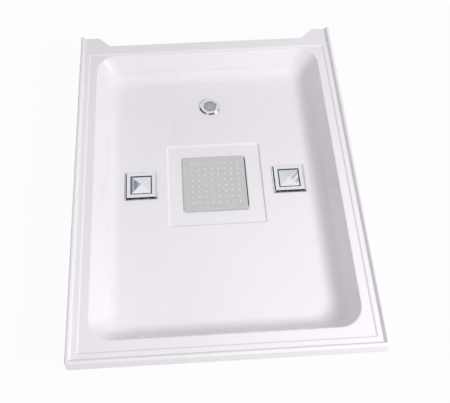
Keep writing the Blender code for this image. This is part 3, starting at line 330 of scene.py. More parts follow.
SCREW_SIDES = 24
SCREW_CROSS = 0.0026
SCREW_SLOT = 0.0005
SCREW_CROSS_DEPTH = 0.0011
SCREW_PLACES = ((-0.0405, -0.0405), (-0.0405, 0.0405), (0.0405, -0.0405), (0.0405, 0.0405))
WIRE_RADIUS = 0.0007
WIRE_SIDES = 12
COIL_RADIUS = 0.0024
COIL_SIDE = 0.0065
COIL_PITCH = 0.0020
COIL_TURNS = 1.75
COIL_STEPS = 32
CLIP_REACH = 0.030
CLIP_TIP = 0.004
CLIP_TIP_DROP = 0.0026
CLIP_TIP_BEND = (0.25, 0.33)
CLIP_EASE = 0.0008
CLIP_EASE_STEPS = 5
BRACKET_SHEET = 0.0012
BRACKET_PLAY = 0.0004
BRACKET_NOSE = 0.0024
BRACKET_ABOVE = 0.0030
BRACKET_BELOW = 0.0095
BRACKET_OUTER_BEND = 1.3 * BRACKET_SHEET
BRACKET_INNER_BEND = 0.4 * BRACKET_SHEET
BRACKET_BEND_STEPS = 4
BRACKET_NOSE_STEPS = 5
PIN_LEVEL = -0.0125
PIN_REACH = CAN_RADIUS + 2 * CLEAR + BRACKET_SHEET + WIRE_RADIUS + COIL_RADIUS
PIN_RADIUS = 0.0013
PIN_HEAD = 0.0019
PIN_HEAD_THICK = 0.0006
PIN_HEAD_FACE = 0.7
RIVET_LEVEL = PIN_LEVEL - 0.0065
RIVET_RADIUS = 0.0010
RIVET_HEAD = 0.0020
RIVET_HEAD_THICK = 0.0008
RIVET_HEAD_FACE = 0.55
RIVET_HEAD_SIDE = 0.9
RIVET_PLAY = 0.0005
ROUND_BODY = 0.023
ROUND_WALL = 0.002
ROUND_FLANGE_THICK = 0.0015
ROUND_PLAIN = 0.004
ROUND_EASE = 0.0004
RING_NUT_RADIUS = 0.031
RING_NUT_LUG = 0.004
RING_NUT_LUGS = 6
LUG_START = 0.90
LUG_FLANK = 0.06
LUG_STEPS = 216
LIE_ALONG_Y = Matrix.Rotation(math.pi / 2, 4, "X")
LIE_ALONG_X = Matrix.Rotation(math.pi / 2, 4, "Y")
AT_PIN = Matrix.Translation((PIN_REACH, 0.0, PIN_LEVEL))


# Nodes of the materials and the world
def set_inputs(node, inputs):
    """Inputs of a node: values to set, or the outputs that feed them."""
    for key, value in inputs.items():
        if isinstance(value, bpy.types.NodeSocket):
            node.id_data.links.new(value, node.inputs[key])
        else:
            node.inputs[key].default_value = value


def add_node(tree, kind, output=0, inputs=None, **settings):
    """Adds a node to a material's or the world's tree, and gives one of its outputs."""
    node = tree.nodes.new("ShaderNode" + kind)
    for key, value in settings.items():
        setattr(node, key, value)
    set_inputs(node, inputs or {})
    return node.outputs[output]


def calculate(operation, *values):
    inputs = dict(enumerate(values))
    return add_node(values[0].id_data, "Math", "Value", inputs, operation=operation)


def seen_by(tree, *rays):
    """1 for the rays of the kinds named, 0 for the others."""
    paths = [add_node(tree, "LightPath", ray) for ray in rays]
    share = paths[0]
    for path in paths[1:]:
        share = calculate("MAXIMUM", share, path)
    return share


def set_shader(tree, **inputs):
    """Inputs of a material's shader, with an underscore for each space in a name."""
    set_inputs(tree.nodes["Principled BSDF"], {key.replace("_", " "): inputs[key] for key in inputs})


def new_material(name, **inputs):
    """A material and its tree of nodes."""
    material = bpy.data.materials.new(name)
    material.use_nodes = True
    set_shader(material.node_tree, **inputs)
    return material, material.node_tree


# Finishes: their patterns read Object coordinates
def axis_field(tree, kind, axis):
    """One axis of the piece's coordinates or of its normals."""
    return add_node(tree, "SeparateXYZ", axis, {"Vector": add_node(tree, "TexCoord", kind)})


def mapped(tree, **inputs):
    """The piece's coordinates, moved or stretched."""
    return add_node(tree, "Mapping", "Vector", {"Vector": add_node(tree, "TexCoord", "Object"), **inputs})


def noise_field(tree, scale, detail, stretch=(1.0, 1.0, 1.0)):
    """A noise from 0 to 1 over the piece, stretched along its axes."""
    inputs = {"Vector": mapped(tree, Scale=stretch), "Scale": scale, "Detail": detail}
    return add_node(tree, "TexNoise", "Fac", inputs)


def spread(field, low, high, start=0.35, end=0.65):
    """Maps a field from start to end to the range from low to high."""
    inputs = {"Value": field, "From Min": start, "From Max": end, "To Min": low, "To Max": high}
    return add_node(field.id_data, "MapRange", "Result", inputs)


def tint(field, first, second):
    """Base colour from first to second along a field."""
    tree = field.id_data
    inputs = {"A": (*first, 1.0), "B": (*second, 1.0), "Factor": field}
    set_shader(tree, Base_Color=add_node(tree, "Mix", "Result", inputs, data_type="RGBA"))


def dull(field, low, high):
    """Roughness between two values along a noise."""
    set_shader(field.id_data, Roughness=spread(field, low, high))


def add_bump(field, strength, distance):
    tree = field.id_data
    inputs = {"Height": field, "Strength": strength, "Distance": distance}
    set_shader(tree, Normal=add_node(tree, "Bump", "Normal", inputs))


def worked_material(name, tones, clouds, marks, gloss, relief=(), **inputs):
    """Two near tones in clouds, and marks in the gloss and in the relief."""
    material, tree = new_material(name, **inputs)
    tint(spread(noise_field(tree, *clouds), 0.0, 1.0), *tones)
    field = noise_field(tree, *marks)
    dull(field, *gloss)
    if relief:
        add_bump(field, *relief)
    return material


def metal_material(name, tones, roughness, stretch=(30.0, 30.0, 30.0)):
    """A worked metal with a tone that wanders and fine marks in its gloss."""
    return worked_material(name, tones, (45.0, 4.0), (30.0, 5.0, stretch),
                           (roughness - 0.07, roughness + 0.10), (0.10, 0.00006), Metallic=1.0)


def plain_material(name, tones, roughness, grain, relief=0.0001):
    """A moulded or cellular finish with a fine grain."""
    return worked_material(name, tones, (25.0, 3.0), (grain, 3.0), (roughness - 0.06, roughness + 0.08),
                           (0.25, relief))


def sheet_material():
    """Glossy white acrylic with a lilac tint, a soft orange peel and a slightly uneven gloss."""
    material = worked_material("formed_acrylic", ((0.893, 0.862, 0.893), (0.920, 0.892, 0.918)), (2.2, 2.0),
                               (9.0, 3.0), (0.20, 0.30), Coat_Weight=0.25, Coat_Roughness=0.12)
    add_bump(noise_field(material.node_tree, 14.0, 1.0), 0.05, 0.0008)
    return material


def brushed_material():
    """Brushed steel: hairlines along X in its gloss, tone and relief, and a polished bevel."""
    material, tree = new_material("brushed_face", Metallic=0.9)
    hair = noise_field(tree, 40.0, 4.0, (1.0, 45.0, 45.0))
    tint(spread(hair, 0.0, 1.0), (0.553, 0.554, 0.558), (0.628, 0.629, 0.632))
    flat = spread(axis_field(tree, "Normal", "Z"), 0.09, 1.0, 0.97, 0.995)
    set_shader(tree, Roughness=calculate("MULTIPLY", flat, spread(hair, 0.36, 0.50)))
    add_bump(hair, 0.12, 0.00005)
    return material


def crystal_material():
    """Cut glass: clear round its foot and tinted near black there as painted shade, the dark outline under
    the frame's inner lip; silvered under its facets with a faint cold tint.
    """
    material, tree = new_material("cut_glass", IOR=1.52, Transmission_Weight=1.0)
    dull(noise_field(tree, 80.0, 2.0), 0.0, 0.03)
    height = axis_field(tree, "Object", "Z")
    foot = FLOOR_Z + CRYSTAL_SHOULDER
    set_shader(tree, Metallic=spread(height, 0.0, SILVERING, foot, foot + SILVER_FADE))
    # Near black below the shoulder: painted shade round the glass's foot, under the frame's lip
    tint(spread(height, 0.0, 1.0, foot, foot + SILVER_FADE), (0.02, 0.022, 0.026), (0.92, 0.94, 0.985))
    return material


def lens_material():
    """Pressed grey-green glass: lighter petals along a spiral, a painted highlight of its pressed petals,
    and painted shade that darkens it towards its rim under the ring's lip.
    """
    material, tree = new_material("pressed_lens", IOR=1.46, Transmission_Weight=0.3)
    centred = mapped(tree, Location=(-ROUND_CENTRE[0], -ROUND_CENTRE[1], 0.0))
    flat = add_node(tree, "VectorMath", "Vector", {0: centred, 1: (1.0, 1.0, 0.0)}, operation="MULTIPLY")
    reach = add_node(tree, "VectorMath", "Value", {0: flat}, operation="LENGTH")
    across, along = [add_node(tree, "SeparateXYZ", axis, {"Vector": flat}) for axis in "XY"]
    # Painted highlights: lighter petals along a spiral, standing for light on the pressed petals
    petals = calculate("MULTIPLY", calculate("ARCTAN2", along, across), LENS_PETALS)
    wave = calculate("SINE", calculate("MULTIPLY_ADD", reach, LENS_TWIST, petals))
    # Painted shade: darker towards the rim, under the ring's lip
    rim = spread(reach, 1.0, 0.25, 0.3 * RING_OPENING, RING_OPENING)
    share = calculate("MULTIPLY", spread(wave, 0.0, 1.0, -1.0, 1.0), rim)
    tint(share, (0.40, 0.43, 0.40), (0.76, 0.82, 0.76))
    dull(noise_field(tree, 300.0, 2.0), 0.08, 0.2)
    return material


finishes = {
    "white_sheet": sheet_material(),
    "brushed_steel": brushed_material(),
    "chrome": worked_material("polished_chrome", ((0.83, 0.84, 0.85), (0.86, 0.87, 0.88)), (12.0, 2.0),
                              (60.0, 3.0), (0.04, 0.11), Metallic=1.0),
    "zinc_steel": metal_material("zinc_plate", ((0.55, 0.56, 0.58), (0.70, 0.70, 0.70)), 0.30),
    "brass": metal_material("turned_brass", ((0.62, 0.46, 0.21), (0.74, 0.58, 0.30)), 0.28,
                            (1.0, 1.0, 60.0)),
    "cast_aluminium": metal_material("pressed_aluminium", ((0.58, 0.59, 0.60), (0.68, 0.69, 0.70)), 0.40,
                                     (1.0, 1.0, 30.0)),
    "reflector": metal_material("bright_reflector", ((0.82, 0.83, 0.84), (0.90, 0.91, 0.92)), 0.14),
    "silicone": plain_material("pale_silicone", ((0.90, 0.905, 0.91), (0.95, 0.95, 0.95)), 0.5, 500.0),
    "black_rubber": plain_material("black_rubber", ((0.025, 0.025, 0.026), (0.05, 0.05, 0.05)), 0.62, 700.0),
    "grey_foam": plain_material("grey_foam", ((0.22, 0.22, 0.23), (0.34, 0.34, 0.35)), 0.85, 1500.0, 0.0003),
    "crystal": crystal_material(),
    "lens": lens_material(),
    "board": plain_material("white_board", ((0.80, 0.81, 0.79), (0.88, 0.88, 0.86)), 0.40, 200.0),
    "nylon": plain_material("black_nylon", ((0.035, 0.035, 0.04), (0.06, 0.06, 0.065)), 0.42, 600.0),
    "white_plastic": plain_material("moulded_white", ((0.82, 0.82, 0.83), (0.88, 0.88, 0.885)), 0.34, 400.0),
}


# Objects and bodies
def add_object(name, data):
    obj = bpy.data.objects.new(name, data)
    bpy.context.scene.collection.objects.link(obj)
    return obj


def mesh_object(name, bm):
    mesh = bpy.data.meshes.new(name)
    bm.to_mesh(mesh)
    bm.free()
    return add_object(name, mesh)


def shade(piece, sharp=SHARP):
    """Smooth shading, sharp where faces meet at more than an angle in degrees."""
    piece.data.shade_smooth()
    piece.data.set_sharp_from_angle(angle=math.radians(sharp))


def add_piece(name, bm, finish, node, body="panel", sharp=SHARP):
    """Makes the piece from a bmesh, rides it on a body and lets it stand for a CAD node."""
    piece = mesh_object(name, bm)
    shade(piece, sharp)
    piece.data.materials.append(finishes[finish])
    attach(piece, body)
    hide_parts(node)
    return piece


def apply_modifier(piece, kind, **settings):
    """Gives the piece a modifier and applies it to its mesh."""
    modifier = piece.modifiers.new(kind.lower(), kind)
    for key, value in settings.items():
        setattr(modifier, key, value)
    bpy.context.view_layer.update()
    depsgraph = bpy.context.evaluated_depsgraph_get()
    mesh = bpy.data.meshes.new_from_object(piece.evaluated_get(depsgraph), preserve_all_data_layers=True,
                                           depsgraph=depsgraph)
    old = piece.data
    piece.modifiers.clear()
    piece.data = mesh
    bpy.data.meshes.remove(old)


def even_shading(piece):
    """Normals weighted by area, so that flat faces stay flat beside their rounds."""
    shade(piece)
    apply_modifier(piece, "WEIGHTED_NORMAL", keep_sharp=True, weight=60)


def cut(piece, bm, operation="DIFFERENCE"):
    """Cuts the piece by a bmesh of closed solids, or joins them to it."""
    cutter = mesh_object("cutter", bm)
    apply_modifier(piece, "BOOLEAN", operation=operation, solver="EXACT", object=cutter)
    bpy.data.objects.remove(cutter, do_unlink=True)


def combined(bm, other, operation="DIFFERENCE"):
    """The first closed body cut by the second, or joined with it."""
    solid = mesh_object("solid", bm)
    cut(solid, other, operation)
    result = bmesh.new()
    result.from_mesh(solid.data)
    tidy(result, WELD)
    bpy.data.objects.remove(solid, do_unlink=True)
    return result


def tidy(bm, distance=MERGE):
    bmesh.ops.remove_doubles(bm, verts=bm.verts, dist=distance)
    bmesh.ops.recalc_face_normals(bm, faces=bm.faces)


def moved(bm, *matrices):
    """The body itself, after each matrix in turn."""
    for matrix in matrices:
        bmesh.ops.transform(bm, matrix=matrix, verts=bm.verts)
    return bm


def at(centre=(0.0, 0.0), height=0.0):
    """The move from the origin to a place."""
    return Matrix.Translation((*centre, height))


def bevel(bm, edges, offset, segments, clamp_overlap=False):
    bmesh.ops.bevel(bm, geom=edges, offset=offset, segments=segments, profile=0.5, affect="EDGES",
                    material=-1, clamp_overlap=clamp_overlap)


def add_bar(bm, radius, low, high, centre, sides=TURN_STEPS):
    """Adds an upright bar."""
    bmesh.ops.create_cone(bm, cap_ends=True, segments=sides, radius1=radius, radius2=radius,
                          depth=high - low, matrix=at(centre, (high + low) / 2))


def add_cross_bar(bm, radius, length, place, sides):
    """Adds a bar along Y with its middle at a place."""
    bmesh.ops.create_cone(bm, cap_ends=True, segments=sides, radius1=radius, radius2=radius,
                          depth=length, matrix=Matrix.Translation(place) @ LIE_ALONG_Y)


def spun(profile, centre=(0.0, 0.0), steps=TURN_STEPS, closed=True):
    """A profile of (radius, height) points spun about the vertical through the centre."""
    bm = bmesh.new()
    verts = [bm.verts.new((radius, 0.0, height)) for radius, height in profile]
    edges = [bm.edges.new(pair) for pair in zip(verts, verts[1:])]
    if closed:
        edges.append(bm.edges.new((verts[-1], verts[0])))
    bmesh.ops.spin(bm, geom=verts + edges, cent=(0, 0, 0), axis=(0, 0, 1), angle=2 * math.pi, steps=steps,
                   use_merge=True)
    tidy(bm)
    return moved(bm, at(centre))


def arc_points(centre, radius, start, end, steps):
    """Points of an arc in a profile, from one angle to another in degrees."""
    turns = [math.radians(start + (end - start) * step / steps) for step in range(steps + 1)]
    return [(centre[0] + radius * math.cos(turn), centre[1] + radius * math.sin(turn)) for turn in turns]


# Lofts through rings of points
def ring_outline(half, front, rear, corner, height, middle=(0.0, 0.0), steps=CORNER_STEPS):
    """A rectangle with round corners, anticlockwise from the right end of its front edge."""
    points = []
    corners = [(half - corner, front + corner), (half - corner, rear - corner),
               (corner - half, rear - corner), (corner - half, front + corner)]
    for quarter, (x, y) in enumerate(corners):
        for step in range(steps + 1):
            angle = math.pi / 2 * (quarter - 1 + step / steps)
            points.append((middle[0] + x + corner * math.cos(angle),
                           middle[1] + y + corner * math.sin(angle), height))
    return points


def rounded_stations(stations, rounds):
    """Stations (half, front, rear, corner, height) with arcs where rounds gives (tangent length, steps)."""
    result = [Vector(stations[0])]
    for before, here, after, (tangent, steps) in zip(stations, stations[1:], stations[2:], rounds):
        here = Vector(here)
        if not tangent:
            result.append(here)
            continue
        back = Vector(before) - here
        ahead = Vector(after) - here
        into = Vector((back[0], back[4]))
        out = Vector((ahead[0], ahead[4]))
        weight = math.sin(into.angle(out) / 2)
        start = here + back * (tangent / into.length)
        end = here + ahead * (tangent / out.length)
        for step in range(steps + 1):
            share = step / steps
            first, second, third = (1 - share) ** 2, 2 * weight * share * (1 - share), share ** 2
            result.append((start * first + here * second + end * third) / (first + second + third))
    result.append(Vector(stations[-1]))
    return result


def square_rings(rows, rounds=(), centre=(0.0, 0.0), steps=CORNER_STEPS):
    """Rings of centred squares from rows of (half, corner, height)."""
    stations = [(half, -half, half, corner, height) for half, corner, height in rows]
    return [ring_outline(*station, centre, steps) for station in rounded_stations(stations, rounds)]


def extrude_rings(bm, rings):
    """Starts an edge loop at the first ring and extrudes it through the others; returns the last loop."""
    verts = [bm.verts.new(point) for point in rings[0]]
    edges = [bm.edges.new(pair) for pair in zip(verts, verts[1:] + verts[:1])]
    places = {tuple(vert.co): index for index, vert in enumerate(verts)}
    for ring in rings[1:]:
        grown = bmesh.ops.extrude_edge_only(bm, edges=edges)["geom"]
        moves = [(item, places[tuple(item.co)]) for item in grown if isinstance(item, bmesh.types.BMVert)]
        for vert, index in moves:
            vert.co = ring[index]
        places = {tuple(vert.co): index for vert, index in moves}
        fresh = {vert for vert, index in moves}
        edges = [item for item in grown if isinstance(item, bmesh.types.BMEdge)
                 and fresh.issuperset(item.verts)]
    return edges


def open_loft(rings):
    """A skin through rings of points, with its last ring filled."""
    bm = bmesh.new()
    bmesh.ops.edgeloop_fill(bm, edges=extrude_rings(bm, rings))
    return bm


def capped_loft(rings):
    """A closed body through rings of points, with its two ends filled."""
    bm = open_loft(rings)
    bmesh.ops.holes_fill(bm, edges=[edge for edge in bm.edges if edge.is_boundary], sides=0)
    tidy(bm, WELD)
    return bm


def closed_loft(rings, distance=WELD):
    """A closed body through rings of points, the last joined to the first."""
    bm = bmesh.new()
    extrude_rings(bm, rings + rings[:1])
    tidy(bm, distance)
    return bm


def face_up(bm):
    """Turns the faces of an open skin so that the broadest one looks up."""
    bmesh.ops.recalc_face_normals(bm, faces=bm.faces)
    if max(bm.faces, key=lambda face: face.calc_area()).normal.z < 0:
        bmesh.ops.reverse_faces(bm, faces=bm.faces)


def turned(rows, centre=(0.0, 0.0), steps=NUT_STEPS):
    """A closed body from rows of (reach, height); a reach is a length or depends on the angle."""
    turns = [2 * math.pi * step / steps for step in range(steps)]
    rings = []
    for reach, height in rows:
        lengths = [reach(turn) if callable(reach) else reach for turn in turns]
        rings.append([(length * math.cos(turn), length * math.sin(turn), height)
                      for turn, length in zip(turns, lengths)])
    return moved(closed_loft(rings), at(centre))


def bar_rings(path, side, sides):
    """Rings of points square to a path of (place, radius), carried along it without twist."""
    places = [Vector(place) for place, radius in path]
    turns = [2 * math.pi * step / sides for step in range(sides)]
    side = Vector(side)
    rings = []
    for index, (place, radius) in enumerate(path):
        way = (places[min(index + 1, len(places) - 1)] - places[max(index - 1, 0)]).normalized()
        side = (side - way * side.dot(way)).normalized()
        up = way.cross(side)
        rings.append([places[index] + (side * math.cos(turn) + up * math.sin(turn)) * radius
                      for turn in turns])
    return rings


# The formed sheet
def rim_stations():
    """Skirt foot, lip, ledge and step, down to the flange."""
    outer = PANEL_WIDTH / 2
    rear = PANEL_LENGTH / 2 + REAR_OVERRUN
    lip = [(0.0, SKIRT_FOOT), (SKIRT_DRAFT, LIP_TOP), (LIP_WIDTH - LIP_DRAFT, LIP_TOP), (LIP_WIDTH, 0.0)]
    stations = []
    for inset, height in lip:
        corner = RIM_CORNER + (STEP_CORNER - RIM_CORNER) * inset / LIP_WIDTH
        stations.append((outer - inset, inset - PANEL_LENGTH / 2, rear - inset, corner, height))
    for run, height in ((STEP_RUN, 0.0), (0.0, FLANGE_Z)):
        stations.append((STEP_HALF + run, STEP_FRONT - run, STEP_REAR + run, STEP_CORNER, height))
    return stations


def dome_stations():
    run = DOME_DEPTH * math.tan(DOME_DRAFT)
    deepest = run + tangent_length(DOME_FLOOR_ROUND, math.pi / 2 - DOME_DRAFT)
    stations = []
    for inset, height in ((0.0, FLANGE_Z), (run, FLOOR_Z), (deepest + FLAT_MARGIN, FLOOR_Z)):
        corner = DOME_CORNER + (DOME_FLOOR_CORNER - DOME_CORNER) * inset / deepest
        stations.append((DOME_HALF - inset, DOME_FRONT + inset, DOME_REAR - inset, corner, height))
    return stations


def recess_stations():
    """The square recess; its stations are centred on the rain head."""
    foot = RECESS_HALF - RECESS_SLOPE
    rows = ((RECESS_HALF + FLAT_MARGIN, RECESS_CORNER, FLOOR_Z), (RECESS_HALF, RECESS_CORNER, FLOOR_Z),
            (RECESS_HALF - RECESS_STEEP, RECESS_CORNER, FLOOR_Z - RECESS_STEEP_DROP),
            (foot, RECESS_FLOOR_CORNER, RECESS_Z), (foot - FLAT_MARGIN, RECESS_FLOOR_CORNER, RECESS_Z))
    along = HEAD_CENTRE[1]
    return [(half, along - half, along + half, corner, height) for half, corner, height in rows]


def tangent_length(radius, turn):
    return radius * math.tan(turn / 2)


def trim_rear(bm):
    """Cuts the rear edge straight behind the ears, and back between them."""
    rear = PANEL_LENGTH / 2
    notch = rear - NOTCH_DEPTH
    ear = PANEL_WIDTH / 2 - LIP_WIDTH - EAR_WIDTH
    planes = [((0, rear, 0), (0, 1, 0)), ((0, notch, 0), (0, 1, 0)),
              ((ear, rear, 0), (1, -1, 0)), ((-ear, rear, 0), (-1, -1, 0))]
    for place, normal in planes:
        faces = [face for face in bm.faces if max(vert.co.y for vert in face.verts) > notch - STEP_RUN]
        edges = {edge for face in faces for edge in face.edges}
        verts = {vert for face in faces for vert in face.verts}
        bmesh.ops.bisect_plane(bm, geom=faces + list(edges) + list(verts), plane_co=place, plane_no=normal)
    waste = []
    for face in bm.faces:
        middle = face.calc_center_median()
        if middle.y > rear or (middle.y > notch and abs(middle.x) < ear - (rear - middle.y)):
            waste.append(face)
    bmesh.ops.delete(bm, geom=waste, context="FACES")


def make_sheet():
    """The formed sheet, trimmed, given its thickness and cut for the lamps and the inlet stem."""
    wall_turn = math.pi / 2 - DOME_DRAFT
    rounds = [(tangent_length(LIP_ROUND, math.pi / 2), LIP_STEPS),
              (tangent_length(LIP_ROUND, math.atan2(LIP_TOP, LIP_DRAFT)), LIP_STEPS), CREASE, CREASE, CREASE,
              (tangent_length(DOME_EDGE_ROUND, wall_turn), LIP_STEPS),
              (tangent_length(DOME_FLOOR_ROUND, wall_turn), FLOOR_STEPS), UNROUNDED, UNROUNDED,
              RECESS_CREASE, RECESS_SWEEP, RECESS_CREASE]
    stations = rounded_stations(rim_stations() + dome_stations() + recess_stations(), rounds)
    bm = open_loft([ring_outline(*station) for station in stations])
    trim_rear(bm)
    face_up(bm)
    sheet = add_piece("formed_sheet", bm, "white_sheet", "ceiling_shell")
    apply_modifier(sheet, "SOLIDIFY", thickness=SHEET, offset=-1.0, use_even_offset=True,
                   use_quality_normals=True)
    holes = bmesh.new()
    for radius, centre in ((LAMP_HOLE, LAMP_CENTRES["left"]), (LAMP_HOLE, LAMP_CENTRES["right"]),
                           (ROUND_HOLE, ROUND_CENTRE), (STEM_HOLE, HEAD_CENTRE)):
        add_bar(holes, radius, RECESS_Z - 2 * SHEET, FLOOR_Z + SHEET, centre)
    cut(sheet, holes)
    even_shading(sheet)


# The rain head
def nozzle_places():
    first = -(NOZZLE_ROWS - 1) * NOZZLE_PITCH / 2
    return [(HEAD_CENTRE[0] + first + column * NOZZLE_PITCH, HEAD_CENTRE[1] + first + row * NOZZLE_PITCH)
            for row in range(NOZZLE_ROWS) for column in range(NOZZLE_ROWS)]


def make_head_face():
    """The folded tray with its polished bevel, pierced for the nozzles."""
    inner = HEAD_CORNER - HEAD_BEVEL
    flat = HEAD_HALF - HEAD_BEVEL
    rows = [(HEAD_HALF, HEAD_CORNER, RECESS_Z + CLEAR), (HEAD_HALF, HEAD_CORNER, HEAD_TOP - HEAD_DROP),
            (flat, inner, HEAD_TOP), (flat - FLAT_MARGIN, inner, HEAD_TOP)]
    bm = open_loft(square_rings(rows, (HEAD_FOLD, HEAD_CREASE), HEAD_CENTRE))
    face_up(bm)
    face = add_piece("rain_face", bm, "brushed_steel", "head_face")
    apply_modifier(face, "SOLIDIFY", thickness=HEAD_PLATE, offset=-1.0, use_even_offset=True)
    holes = bmesh.new()
    for place in nozzle_places():
        add_bar(holes, NOZZLE_HOLE, HEAD_TOP - 2 * HEAD_PLATE, HEAD_TOP + HEAD_PLATE, place, HOLE_SIDES)
    cut(face, holes)
    even_shading(face)


def square_plate(node, low, high):
    """A plate between two levels, as wide as a node of the rain head."""
    half = half_width(node)
    rows = [(half, HEAD_CORNER, low), (half, HEAD_CORNER, high)]
    return capped_loft(square_rings(rows, (), HEAD_CENTRE))


def make_nozzle_mat():
    """The silicone sheet with its round-tipped, pierced nozzles."""
    low, tip = levels("head_nozzle_mat")
    top = low + MAT_THICK
    root = top - MAT_THICK / 2
    mat = add_piece("nozzle_mat", square_plate("head_nozzle_mat", low, top), "silicone", "head_nozzle_mat")
    crown = NOZZLE_TIP / 5
    profile = [(NOZZLE_ROOT, root), (NOZZLE_ROOT, HEAD_TOP + NOZZLE_SHOULDER), (NOZZLE_TIP, tip - crown),
               (NOZZLE_TIP - crown / 2, tip - crown / 4), (NOZZLE_TIP - crown, tip), (NOZZLE_BORE, tip),
               (NOZZLE_BORE, root)]
    nozzles = bmesh.new()
    bores = bmesh.new()
    for place in nozzle_places():
        single = spun(profile, place, HOLE_SIDES)
        mesh = bpy.data.meshes.new("nozzle")
        single.to_mesh(mesh)
        single.free()
        nozzles.from_mesh(mesh)
        bpy.data.meshes.remove(mesh)
        add_bar(bores, NOZZLE_BORE, low - MAT_THICK, top - MAT_THICK / 4, place, HOLE_SIDES)
    cut(mat, bores)
    cut(mat, nozzles, "UNION")


# The lamps
def make_bezel(side):
    """A square chrome frame: flange, sloped riser, flat top and an inner lip over the glass."""
    node = side + "_lamp_bezel"
    outer = half_width(node)
    foot = outer - BEZEL_FLANGE
    rows = [(BEZEL_UNDER, BEZEL_BASE), (outer, BEZEL_BASE), (outer, BEZEL_EDGE), (foot, BEZEL_FOOT),
            (foot - BEZEL_RISER, BEZEL_TOP), (BEZEL_OPENING, BEZEL_TOP), (BEZEL_OPENING, BEZEL_LIP),
            (BEZEL_POCKET_HALF, BEZEL_LIP), (BEZEL_POCKET_HALF, BEZEL_POCKET),
            (BEZEL_UNDER, BEZEL_POCKET), (BEZEL_UNDER, BEZEL_BASE)]
    rows = [(half, BEZEL_CORNER, FLOOR_Z + height) for half, height in rows]
    rounds = [BEZEL_FOLD, BEZEL_EASE, BEZEL_FOLD, BEZEL_EASE, BEZEL_EASE] + [UNROUNDED] * 4
    rings = square_rings(rows, rounds, LAMP_CENTRES[side], BEZEL_STEPS)
    even_shading(add_piece(side + "_frame", closed_loft(rings[:-1], MERGE), "chrome", node))


def make_crystal(side):
    """The glass: a square pyramid on a wider base, with its ridges just broken."""
    x, y = LAMP_CENTRES[side]
    rings = []
    for half, height in ((CRYSTAL_BASE_HALF, CRYSTAL_LOW), (CRYSTAL_BASE_HALF, CRYSTAL_SHOULDER),
                         (CRYSTAL_FOOT, CRYSTAL_SHOULDER), (CRYSTAL_TIP, CRYSTAL_APEX)):
        rings.append([(x + across * half, y + along * half, FLOOR_Z + height)
                      for across, along in ((1, -1), (1, 1), (-1, 1), (-1, -1))])
    bm = capped_loft(rings)
    least = math.radians(CRYSTAL_RIDGE_ANGLE)
    bevel(bm, [edge for edge in bm.edges if edge.calc_face_angle() > least], CRYSTAL_RIDGE, 2, True)
    tidy(bm, WELD)
    add_piece(side + "_crystal", bm, "crystal", side + "_lamp_crystal", sharp=FACET_SHARP)


def make_ring():
    """The chrome ring: a straight skirt, a short cone, a flat crown and a lip over the lens."""
    skirt = FLOOR_Z + CLEAR
    gasket = FLOOR_Z + RING_GASKET
    lip = FLOOR_Z + RING_LIP
    glass = LENS_RADIUS + CLEAR
    crown = RING_TOP - RING_BEAD
    shoulder = crown - RING_CONE_RISE
    profile = [(RING_RADIUS, skirt), (RING_RADIUS, shoulder)]
    profile += arc_points((RING_RADIUS - RING_BEAD, shoulder), RING_BEAD, 0, 35, 4)[1:]
    profile += arc_points((RING_RADIUS - RING_CONE, crown), RING_BEAD, 40, 90, 5)
    profile += arc_points((RING_OPENING + RING_MOUTH, crown), RING_BEAD, 90, 140, 5)
    profile += [(RING_OPENING, lip + RING_BEAD), (RING_OPENING, lip), (glass, lip), (glass, gasket),
                (RING_BORE, gasket), (RING_BORE, skirt)]
    even_shading(add_piece("round_ring", spun(profile, ROUND_CENTRE), "chrome", "round_lamp_ring"))


def make_lens():
    """The round lens, pressed with a spiral of petals and faint rings."""
    low, high = levels("round_lamp_lens")
    dome = RING_OPENING - CLEAR
    edge = low + LENS_EDGE
    shares = [row / LENS_ROWS for row in range(LENS_ROWS + 1)]
    profile = [(dome * share, edge + (high - edge) * (1 - share ** 2)) for share in shares]
    profile += [(dome, edge), (LENS_RADIUS, edge), (LENS_RADIUS, low), (0.0, low)]
    bm = spun(profile, closed=False)
    for vert in bm.verts:
        share = math.hypot(vert.co.x, vert.co.y) / dome
        if vert.co.z > edge and share > LENS_DIMPLE:
            turn = LENS_PETALS * math.atan2(vert.co.y, vert.co.x) + PETAL_SWIRL * share
            petal = math.cos(turn) * math.sin(math.pi * min(1.0, share * PETAL_LENGTH))
            ripple = math.cos(RIPPLES * math.pi * share)
            vert.co.z -= (PETAL_DEPTH * (1 - petal) + RIPPLE_DEPTH * (1 - ripple)) * (1 - share)
    add_piece("round_lens", moved(bm, at(ROUND_CENTRE)), "lens", "round_lamp_lens", sharp=PRESSED_SHARP)


# Small shapes shared by the fittings behind the sheet
def hexagon(flats, limit):
    """The reach of a hexagon across its flats, with its corners turned down to a limit."""
    def reach(angle):
        fold = (angle + math.pi / 6) % (math.pi / 3) - math.pi / 6
        return min(flats / 2 / math.cos(fold), limit)
    return reach


def scalloped(radius, depth):
    """The reach of a gland's fluted cap."""
    return lambda angle: radius - depth * (0.5 - 0.5 * math.cos(GLAND_FLUTES * angle))


def hex_rows(flats, low, high, bore):
    """Rows of a nut: an eased bore, and corners turned down at both faces."""
    face = flats * NUT_FACE_SHARE
    rest = flats / math.sqrt(3) - face
    lower = [(bore, low + NUT_EASE), (bore + NUT_EASE, low)]
    upper = [(bore, high - NUT_EASE), (bore + NUT_EASE, high)]
    for step in range(NUT_CHAMFER_STEPS + 1):
        grown = rest * step / NUT_CHAMFER_STEPS
        reach = hexagon(flats, face + grown)
        lower.append((reach, low + grown * NUT_CHAMFER_SLOPE))
        upper.append((reach, high - grown * NUT_CHAMFER_SLOPE))
    return lower + upper[::-1]


def thread_profile(radius, low, high):
    """Thread crests and roots from low to high, as (radius, height) points."""
    return [(radius - depth * THREAD_DEPTH, low + (turn + share) * THREAD_PITCH)
            for turn in range(int((high - low) / THREAD_PITCH)) for share, depth in THREAD_SHAPE]


